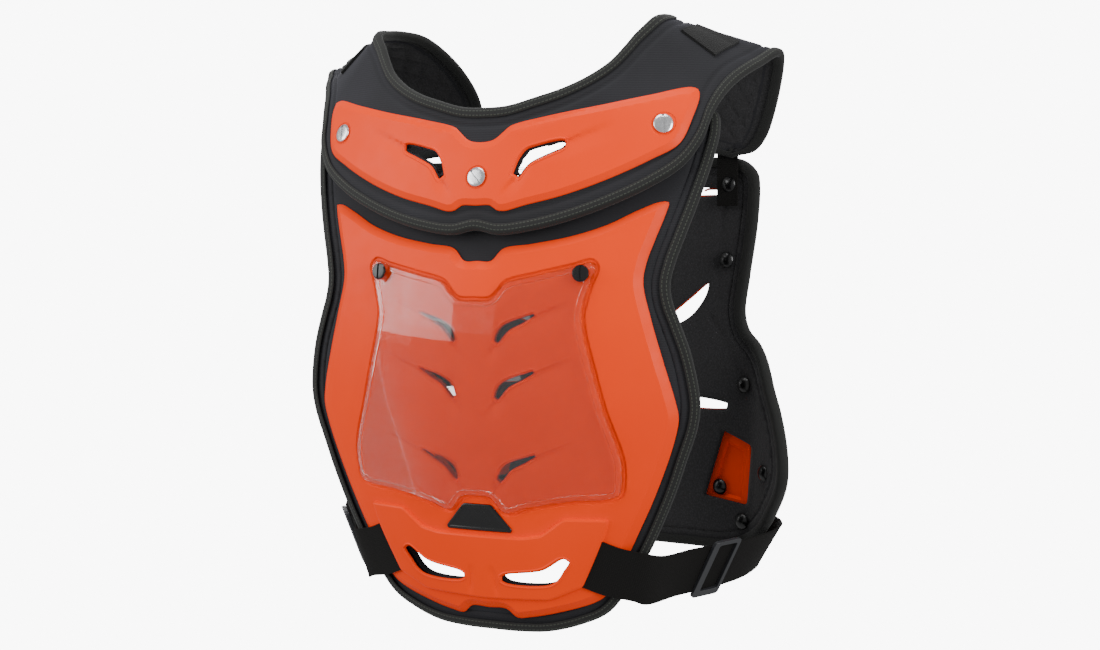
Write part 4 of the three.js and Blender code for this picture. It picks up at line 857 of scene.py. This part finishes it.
# %% Yoke grid
YOKE_LINES = (
    (0, -0.80, 0.558, 0, -0.94, 0.02, 1), (0.095, -0.79, 0.565, 0.095, -0.94, 0, 1),
    (0.2, -0.75, 0.6, 0.225, -0.92, 0.02, 1), (0.3, -0.67, 0.64, 0.36, -0.87, 0.062, 1),
    (0.39, -0.6, 0.695, 0.5, -0.8, 0.125, 1), (0.46, -0.55, 0.76, 0.635, -0.7, 0.205, 1),
    (0.505, -0.51, 0.83, 0.745, -0.58, 0.3, 1), (0.535, -0.47, 0.885, 0.803, -0.46, 0.415, 1),
    (0.565, -0.36, 0.93, 0.828, -0.3, 0.54, 1), (0.59, -0.22, 0.97, 0.873, -0.12, 0.665, 0.5),
    (0.598, -0.05, 0.993, 0.95, 0.14, 0.775, 0), (0.575, 0.12, 1, 0.995, 0.36, 0.835, 0),
    (0.52, 0.27, 0.985, 0.985, 0.49, 0.795, 0), (0.46, 0.47, 0.91, 0.96, 0.6, 0.695, 0),
    (0.415, 0.65, 0.81, 0.925, 0.69, 0.57, 0), (0.392, 0.82, 0.69, 0.885, 0.75, 0.46, 0),
    (0.388, 0.89, 0.56, 0.835, 0.78, 0.395, 0), (0.42, 0.9, 0.45, 0.745, 0.81, 0.372, 0),
)
YOKE_LONG, YOKE_WIDE = 220, 60
YOKE_SIZE, YOKE_BOTTOM = (237, 112, 197), (0, 0, 170)
YOKE_LIFT = 11.1


def yoke_edge(start):
    """One edge from end to end, from three columns of the table."""
    half = [np.array(row[start:start + 3]) * YOKE_SIZE - YOKE_BOTTOM for row in YOKE_LINES]
    return [p * (-1, 1, 1) for p in reversed(half[1:])] + half


neck_line, outer_line = yoke_edge(0), yoke_edge(3)
hugs = [r[6] for r in YOKE_LINES]


def yoke_point(along, across):
    neck, outer = through(neck_line, along), through(outer_line, along)
    hug = float(np.interp(abs(2 * along - 1), np.linspace(0, 1, len(hugs)), hugs))
    for end in (neck, outer):
        end[1] += hug * (chest(end[0], end[2], YOKE_LIFT) - end[1])
    point = neck + (outer - neck) * across
    point[1] += hug * (chest(point[0], point[2], YOKE_LIFT) - point[1])
    return point


def yoke_grid(long, wide, low=0.0, high=1.0, left=0.0, right=1.0):
    """Points and outward directions of the yoke's face."""
    points = np.array([[
        yoke_point(low + (high - low) * i / long, left + (right - left) * j / wide)
        for j in range(wide + 1)] for i in range(long + 1)])
    normal = np.cross(np.gradient(points, axis=1), np.gradient(points, axis=0))
    return points, normal / norm(normal, axis=2)[:, :, None]


yoke_points, yoke_normals = yoke_grid(YOKE_LONG, YOKE_WIDE)
from_neck = np.zeros((YOKE_LONG + 1, YOKE_WIDE + 1))
from_neck[:, 1:] = np.cumsum(norm(np.diff(yoke_points, axis=1), axis=2), axis=1)
from_outer = from_neck[:, -1:] - from_neck
lengths = np.concatenate([[0], np.cumsum(stretches(yoke_points[:, YOKE_WIDE // 2]))])
from_end = np.minimum(lengths, lengths[-1] - lengths)[:, None] + np.zeros_like(from_neck)
edge_distance = np.minimum(np.minimum(from_neck, from_outer), from_end)


def pressed(distance, place, depth, width):
    return -depth * np.exp(-((distance - place) / width) ** 2)


# %% Yoke pad
pressing = pressed(from_neck, 15.5, 1.5, 1.8) + pressed(from_outer, 17, 1.5, 1.8)
pressing += pressed(from_end, 16, 1.3, 1.8)
pressing += 0.9 * np.clip(edge_distance / 14, 0, 1) - 0.9
bm = woven(yoke_points + yoke_normals * pressing[:, :, None])
blocked = [grown(v, -1.2) for v in yoke_vents]


def encloses(loop, x, z):
    hits = False
    for (ax, az), (bx, bz) in zip(loop, np.roll(loop, -1, 0)):
        if (az > z) != (bz > z) and x < (bx - ax) * (z - az) / (bz - az) + ax:
            hits = not hits
    return hits


def cut_vents(bm):
    for face in bm.faces[:]:
        c = face.calc_center_median()
        if abs(c.x) < 90 and c.y < -40 and any(encloses(loop, c.x, c.z) for loop in blocked):
            bm.faces.remove(face)
    loose = [v for v in bm.verts if not v.link_faces]
    bmesh.ops.delete(bm, geom=loose, context="VERTS")
    rim = [v for v in bm.verts if v.is_boundary and abs(v.co.x) < 90 and v.co.y < -40]
    for v in rim:
        here = v.co.x, v.co.z
        away, spot = min((math.dist(p, here), tuple(p)) for loop in blocked for p in loop)
        if away < 3.4:
            v.co.x, v.co.z = spot


cut_vents(bm)
bmesh.ops.reverse_faces(bm, faces=bm.faces[:])
walled(bm, 2.8)
finished("yoke_foam", bm, foam, ["yoke_pad"], 60)

# %% Yoke lining, quilted in diamonds
QUILT_CELL, QUILT_DEPTH, QUILT_SEAM = 24, 2.0, 4.5
quilt_u, quilt_v = lengths[:, None] / QUILT_CELL, (from_neck - from_outer) / (2 * QUILT_CELL)
seams = np.abs((quilt_u + quilt_v) % 1 - 0.5), np.abs((quilt_u - quilt_v) % 1 - 0.5)
lozenge = np.minimum(*seams) * QUILT_CELL
quilt = QUILT_DEPTH * np.clip(lozenge / QUILT_SEAM, 0, 1) * np.clip((edge_distance - 16) / 4, 0, 1)
bm = woven(yoke_points - yoke_normals * (3.1 + quilt + 0.4)[:, :, None])
cut_vents(bm)
walled(bm, 0.8)
finished("yoke_lining", bm, lining, (), 60)

# %% [markdown]
# ## Bindings
# A tape is folded over each pad's edge and sewn through. One section, a flat U with a crown, is
# swept round, and the material draws the stitches along the UV map.

# %% Binding section and sweeps
HALF_PAD, HALF_YOKE = 3.5, 2.25
TAPE_EASE = 0.5


def tape_section(half):
    """Half is half the pad's thickness. Pairs: outward from the edge, through the pad."""
    outer = [(-8.2, half + 0.25), (-7.6, half + 0.75), (-5.5, half + 1.15), (-3.0, half + 1.25),
             (-0.8, half + 1.0), (0.7, half * 0.82 + 0.3), (1.5, half * 0.4)]
    inner = [(-0.6, half - 0.1), (-7.6, half + 0.1)]
    other = [(out, -up) for out, up in outer[::-1] + inner[::-1]]
    return outer + [(1.6, 0.0)] + other + [(0.2, 0.0)] + inner + outer[:1]


def swept(stations, half):
    rows = []
    for edge, leave, out in list(stations) + [stations[0]]:
        rows.append([edge + a * leave + b * out for a, b in tape_section(half)])
    return closed(woven(rows))


def straight_out(form, x, z, lift=0.0):
    """Direction out of a form at a place."""
    sx = float(form(x + 1, z, lift) - form(x - 1, z, lift)) / 2
    sz = float(form(x, z + 1, lift) - form(x, z - 1, lift)) / 2
    return np.array([-sx, 1.0, -sz])


def face_stations(loop, form, middle, side):
    """Stations round a pad that lies on a form. Middle is the lift of its mid-thickness."""
    p = np.asarray(loop)
    ahead = grown(p, 1.0) - p
    made = []
    for (x, z), (lx, lz) in zip(p, ahead):
        y = float(form(x, z, middle))
        leave = np.array([lx, float(form(x + lx, z + lz, middle)) - y, lz])
        leave /= norm(leave)
        out = side * straight_out(form, x, z, middle)
        out -= leave * (out @ leave)
        made.append((np.array([x, y, z]), leave, unit(out)))
    return made


def yoke_stations():
    made = []

    def add(i, j, leave):
        out = yoke_normals[i, j]
        leave = leave - out * (leave @ out)
        made.append((yoke_points[i, j] - out * HALF_YOKE, unit(leave), out))

    def add_end(i, inward, places):
        """Round one end. The tape leans outward at its corners."""
        side = yoke_points[i, 1] - yoke_points[i, 0]
        for j in places:
            t = j / YOKE_WIDE
            fan = yoke_points[i, j] - yoke_points[inward, j]
            lean = np.clip(1 - 8 * min(t, 1 - t), 0, 1) * (1 if t > 0.5 else -1)
            add(i, j, unit(fan) + lean * unit(side))

    last = YOKE_LONG
    for i in range(1, last):
        add(i, 0, yoke_points[i, 0] - yoke_points[i, 1])
    add_end(last, last - 1, range(0, YOKE_WIDE + 1, 2))
    for i in range(last - 1, 0, -1):
        add(i, YOKE_WIDE, yoke_points[i, YOKE_WIDE] - yoke_points[i, YOKE_WIDE - 1])
    add_end(0, 1, range(YOKE_WIDE, -1, -2))
    return made


for place, stations, half in (("chest", face_stations(pad_loop, chest, -HALF_PAD, -1), HALF_PAD),
                              ("back", face_stations(back_loop, back, -HALF_PAD, 1), HALF_PAD),
                              ("yoke", yoke_stations(), HALF_YOKE)):
    bm = swept(stations, half + TAPE_EASE)
    finished(f"{place}_tape", bm, tape, [f"{place}_binding"], 60)

# %% [markdown]
# ## The clear window
# A clear sheet with a moulded double rim, on two screws. It is a real thin wall, so the vents
# behind it stay sharp.

# %% Window
WINDOW_RIM = ((0.5, 3.4), (0.8, 1.2), (3.6, 0.0), (0.9, -1.5), (1.2, 0.0))
WINDOW_SCREWS = ((98, -205), (-98, -205))
bm, edges = rimmed(window_loop, -4.6, WINDOW_RIM)
filled(bm, 3.5, edges)


def bosses(x, z):
    d = np.minimum(*[np.hypot(x - sx, z - sz) for sx, sz in WINDOW_SCREWS])
    return -0.9 * np.clip((12 - d) / 2.5, 0, 1)


laid(bm, above(chest, WINDOW_LIFT), [bosses])
walled(bm, 1.6, (0, 1, 0))
finished("clear_window", bm, clear, ["window"], 28)

# %% Badge
badge_loop = corner_cut(outline(BADGE, BADGE_BOX), 1.2, 2.0)
BADGE_RIM = ((0.4, 0.8), (0.9, 0.4), (1.4, 0.0), (0.5, -0.35))
bm = bmesh.new()
stepped(bm, flat_face(bm, badge_loop, -1.2), BADGE_RIM)
filled(bm, 3.0)
laid(bm, above(chest, BADGE_LIFT))
walled(bm, 2.4)
finished("bare_badge", bm, black, ["badge"], 40)

# %% [markdown]
# ## Screws and rivets
# Heads are spun from a profile. The slot is a strip of the top pushed in.

# %% Turned heads
SIDES = (("left", 1), ("right", -1))


def spun(profile, segments):
    bm = bmesh.new()
    verts = [bm.verts.new((r, 0, h)) for r, h in profile]
    edges = [bm.edges.new(pair) for pair in zip(verts, verts[1:])]
    bmesh.ops.spin(bm, geom=verts + edges, cent=(0, 0, 0), axis=(0, 0, 1), angle=2 * math.pi,
                   steps=segments, use_merge=True)
    return closed(bm)


def slot_cut(bm, half, depth, top):
    """A screwdriver slot across the top of a head."""
    for side in (-half, half):
        cut_across(bm, 0, side)
    centres = [(f, f.calc_center_median()) for f in bm.faces]
    strip = [f for f, c in centres if abs(c.x) < half and f.normal.z > 0.7 and c.z > top - 0.5]
    pushed = bmesh.ops.extrude_face_region(bm, geom=strip)["geom"]
    bmesh.ops.delete(bm, geom=strip, context="FACES_ONLY")
    low = [v for v in pushed if isinstance(v, bmesh.types.BMVert)]
    bmesh.ops.translate(bm, vec=(0, 0, -depth), verts=low)


def seated(bm, form, x, z, lift, turn=0.0):
    """Stands a turned piece straight out of a form, on its side that looks forward."""
    out = -Vector(straight_out(form, x, z)).normalized()
    faced = out.to_track_quat("Z", "Y").to_matrix().to_4x4()
    place = Matrix.Translation((x, float(form(x, z, lift)), z))
    bmesh.ops.transform(bm, matrix=place @ faced @ Matrix.Rotation(turn, 4, "Z"), verts=bm.verts[:])


YOKE_SCREW = ((0, 2.3), (5.5, 2.3), (7.6, 2.1), (8.5, 1.5), (8.75, 0.8), (8.75, 0), (0, 0))
SLOT_TURNS = (0.05, 0.2, 0.75)
for name, (x, z), turn in zip(("left", "right", "middle"), YOKE_SCREWS, SLOT_TURNS):
    bm = spun(YOKE_SCREW, 48)
    slot_cut(bm, 1.0, 1.7, 2.3)
    seated(bm, chest, x, z, YOKE_PLATE_LIFT - 0.6, turn)
    finished(f"yoke_bolt_{name}", bm, steel, [f"yoke_screw_{name}"], 35)
WINDOW_SCREW = ((0, 4.6), (4.8, 4.6), (6.6, 4.3), (7.4, 3.4), (7.5, 2.2), (3, 2.2), (3, -3.8),
                (0, -3.8))
for name, (x, z) in zip(("left", "right"), WINDOW_SCREWS):
    bm = spun(WINDOW_SCREW, 40)
    slot_cut(bm, 0.9, 1.3, 4.6)
    seated(bm, chest, x, z, WINDOW_LIFT - 1.8)
    finished(f"window_bolt_{name}", bm, black, [f"window_screw_{name}"], 35)
RIVET = ((0, 4.4), (2.2, 4.2), (4.4, 3.5), (6.2, 2.4), (7.3, 1.2), (7.8, 0.5), (8, 0), (0, 0))
RIVETS = (
    ("tab", 0.71, 0.934, -11.4), ("shoulder", 0.697, 0.743, -7.9), ("side", 0.78, 0.428, -7.9),
    ("opening", 0.664, 0.157, -0.25), ("wing", 0.885, 0.215, -7.9), ("waist", 0.775, 0.079, -7.9),
)
for name, out, up, lift in RIVETS:
    for side, sign in SIDES:
        x, z = placed([(out, up)], BACK_PAD_BOX)[0]
        bm = spun(RIVET, 28)
        seated(bm, back, sign * x, z, lift)
        finished(f"stud_{name}_{side}", bm, black, [f"rivet_{name}_{side}"], 35)

# %% [markdown]
# ## Waist straps and sliders
# The strap follows the same curve as in the CAD model, from under the belly panel, round the side
# and to the back shield.

# %% Waist straps
STRAP_ROUTE = (
    (0.42, 0.2, 0.42, chest), (0.46, 0.191, 0.41, chest), (0.52, 0.178, 0.37, chest),
    (0.608, 0.167, 0.34, chest), (0.644, 0.159, 0.34, -0.41), (0.722, 0.163, 0.37, -0.17),
    (0.832, 0.168, 0.42, 0.06), (0.915, 0.174, 0.46, 0.31), (0.947, 0.178, 0.5, 0.5),
    (0.942, 0.182, 0.48, 0.64), (0.908, 0.186, 0.42, 0.745), (0.835, 0.188, 0.3, 0.815),
    (0.71, 0.19, 0.2, back),
)
STRAP_WIDTH, STRAP_LIFT = 48, 1.5


def strap_station(out, up, lean, rests):
    """Both edges of the strap, on a form or at a share of the way to the back."""
    x, z = placed([(out, up)], (BACK_PAD_BOX[0], *CHEST_PAD_BOX[1:]))[0]
    ends = [[x, 0.0, z], [x - lean * STRAP_WIDTH, 0.0, z - STRAP_WIDTH * math.sqrt(1 - lean ** 2)]]
    for p in ends:
        if callable(rests):
            p[1] = float(rests(p[0], p[2], PLATE_LIFT + STRAP_LIFT))
        else:
            p[1] = rests * BACK_BEHIND
    return np.array(ends)


stations = [strap_station(*row) for row in STRAP_ROUTE]
strap_top, strap_low = [s[0] for s in stations], [s[1] for s in stations]


def strap_frame(share):
    """Middle of the strap and its three directions at a share of its route."""
    def both(at):
        return through(strap_top, at), through(strap_low, at)

    top, low = both(share)
    ahead, behind = sum(both(min(1, share + 0.01))), sum(both(max(0, share - 0.01)))
    forward = unit(ahead - behind)
    upward = unit(top - low)
    out = np.cross(forward, upward)
    return (top + low) / 2, forward, upward, unit(out)


STRAP_LONG, STRAP_WIDE = 150, 16
strap_shares = [1 - 2 * j / STRAP_WIDE for j in range(STRAP_WIDE + 1)]
strap_rows = []
for i in range(STRAP_LONG + 1):
    middle, _, upward, out = strap_frame(i / STRAP_LONG)
    strap_rows.append([
        middle + upward * t * STRAP_WIDTH / 2 + out * (0.75 + 0.2 * max(0, abs(t) - 0.86) / 0.14)
        for t in strap_shares])
strap_rows = np.array(strap_rows)
strap_length = stretches(strap_rows[:, STRAP_WIDE // 2]).sum() / 1000


def both_bands(name, node, rows, turned, thickness, look, **sheet):
    """A walled strip at each side. Its faces are turned over where the sign is as given."""
    for side, sign in SIDES:
        bm = woven(rows * (sign, 1, 1))
        if sign == turned:
            bmesh.ops.reverse_faces(bm, faces=bm.faces[:])
        walled(bm, thickness)
        made = finished(f"{name}_{side}", bm, look, [f"{node}_{side}"], 50)


both_bands("strap", "waist_strap", strap_rows, -1, 1.6, webbing, flat=(0.048, strap_length),
           held="stretched", rests_on=["chest_shield", "back_shield"])
print("strap length in mm:", round(1000 * strap_length))

# %% Sliders
middle, forward, upward, out = strap_frame(0.485)
slide = Matrix([[forward[k], -out[k], upward[k], middle[k]] for k in range(3)] + [[0, 0, 0, 1]])
SLIDER_FRAME = ((-14.5, -29), (14.5, -29), (14.5, 29), (-14.5, 29))
SLIDER_SLOT = ((-8, -22.5), (11, -22.5), (11, 25), (-8, 25))
SLIDER_FACE = 5.4
for side, sign in SIDES:
    bm = bmesh.new()
    edges = []
    for corners, radius in ((SLIDER_FRAME, 4), (SLIDER_SLOT, 2)):
        edges += opened(bm, flat_face(bm, corner_cut(corners, radius, 4), SLIDER_FACE))
    filled(bm, None, edges)
    bmesh.ops.solidify(bm, geom=bm.faces[:], thickness=3.6)
    bmesh.ops.transform(bm, matrix=slide, verts=bm.verts[:])
    bmesh.ops.scale(bm, vec=(sign, 1, 1), verts=bm.verts[:])
    bmesh.ops.recalc_face_normals(bm, faces=bm.faces[:])
    slider = finished(f"buckle_{side}", bm, grey, [f"slider_{side}"], 30)
    soft_edge = slider.modifiers.new("soft_edge", "BEVEL")
    soft_edge.width, soft_edge.segments, soft_edge.limit_method = 0.0008, 3, "ANGLE"

# %% Shoulder patches and tabs
PATCH_LONG, PATCH_WIDE = 24, 16
PATCH_SPAN = (0.5 + 9.3 / 34, 0.5 + 10.4 / 34, 0.27, 0.68)
patch_points, patch_normals = yoke_grid(PATCH_LONG, PATCH_WIDE, *PATCH_SPAN)
patch_rows = patch_points + patch_normals * 2.6
patch_width = stretches(patch_rows[PATCH_LONG // 2]).sum() / 1000
patch_length = stretches(patch_rows[:, PATCH_WIDE // 2]).sum() / 1000
both_bands("loop_patch", "shoulder_patch", patch_rows, 1, 2.6, loops,
           flat=(patch_width, patch_length), held="laid", rests_on=["yoke_foam"])
TAB_TOP, TAB_LENGTH, TAB_SIDES = -72, 72, (159, 181)
TAB_STEPS = 24
tab_rows = []
for i in range(TAB_STEPS + 1):
    z = TAB_TOP - i / TAB_STEPS * TAB_LENGTH
    sink = np.interp(i / TAB_STEPS, (0, 0.24, 1), (0.3, 1, 1)) * 2.2
    places = np.linspace(*TAB_SIDES, 9)
    tab_rows.append([[x, float(back(x, z, -PAD_DEPTH - sink)) - 1.6, z] for x in places])
both_bands("join_tab", "back_tab", np.array(tab_rows), 1, 1.4, webbing, flat=(0.022, 0.072),
           held="hung", rests_on=["yoke_foam", "back_foam"])

# %% [markdown]
# ## Light
# The piece hangs in plain white: a world that is brighter to the camera than to the piece. A big
# softbox in front at the left shows in the window.

# %% Studio
world = bpy.data.worlds.new("studio")
world.use_nodes = True
nodes, links = world.node_tree.nodes, world.node_tree.links
soft, plain = nodes["Background"], nodes.new("ShaderNodeBackground")
choice = nodes.new("ShaderNodeMixShader")
for sky, strength in ((soft, 0.55), (plain, 9.0)):
    sky.inputs["Color"].default_value = (1, 1, 1, 1)
    sky.inputs["Strength"].default_value = strength
links.new(nodes.new("ShaderNodeLightPath").outputs["Is Camera Ray"], choice.inputs[0])
links.new(soft.outputs[0], choice.inputs[1])
links.new(plain.outputs[0], choice.inputs[2])
links.new(choice.outputs[0], nodes["World Output"].inputs["Surface"])
bpy.context.scene.world = world


def softbox(name, place, aim, width, height, power):
    light = bpy.data.lights.new(name, "AREA")
    light.shape = "RECTANGLE"
    light.size, light.size_y, light.energy = width, height, power
    made = bpy.data.objects.new(name, light)
    made.location = place
    made.rotation_mode = "QUATERNION"
    made.rotation_quaternion = (Vector(aim) - Vector(place)).to_track_quat("-Z", "Y")
    bpy.context.scene.collection.objects.link(made)


softbox("key", (-1.52, -1.28, 0.40), (0, -0.1, -0.25), 1.6, 1.5, 31)
softbox("fill", (1.75, -0.8, 0.2), (0.05, 0.05, -0.3), 0.6, 1.4, 26)
softbox("top", (0.1, -0.5, 1.5), (0, 0, -0.25), 1.2, 0.8, 18)
softbox("behind", (-0.9, 1.9, 0.7), (0, 0, -0.25), 1.4, 1.2, 22)
print("studio ready")
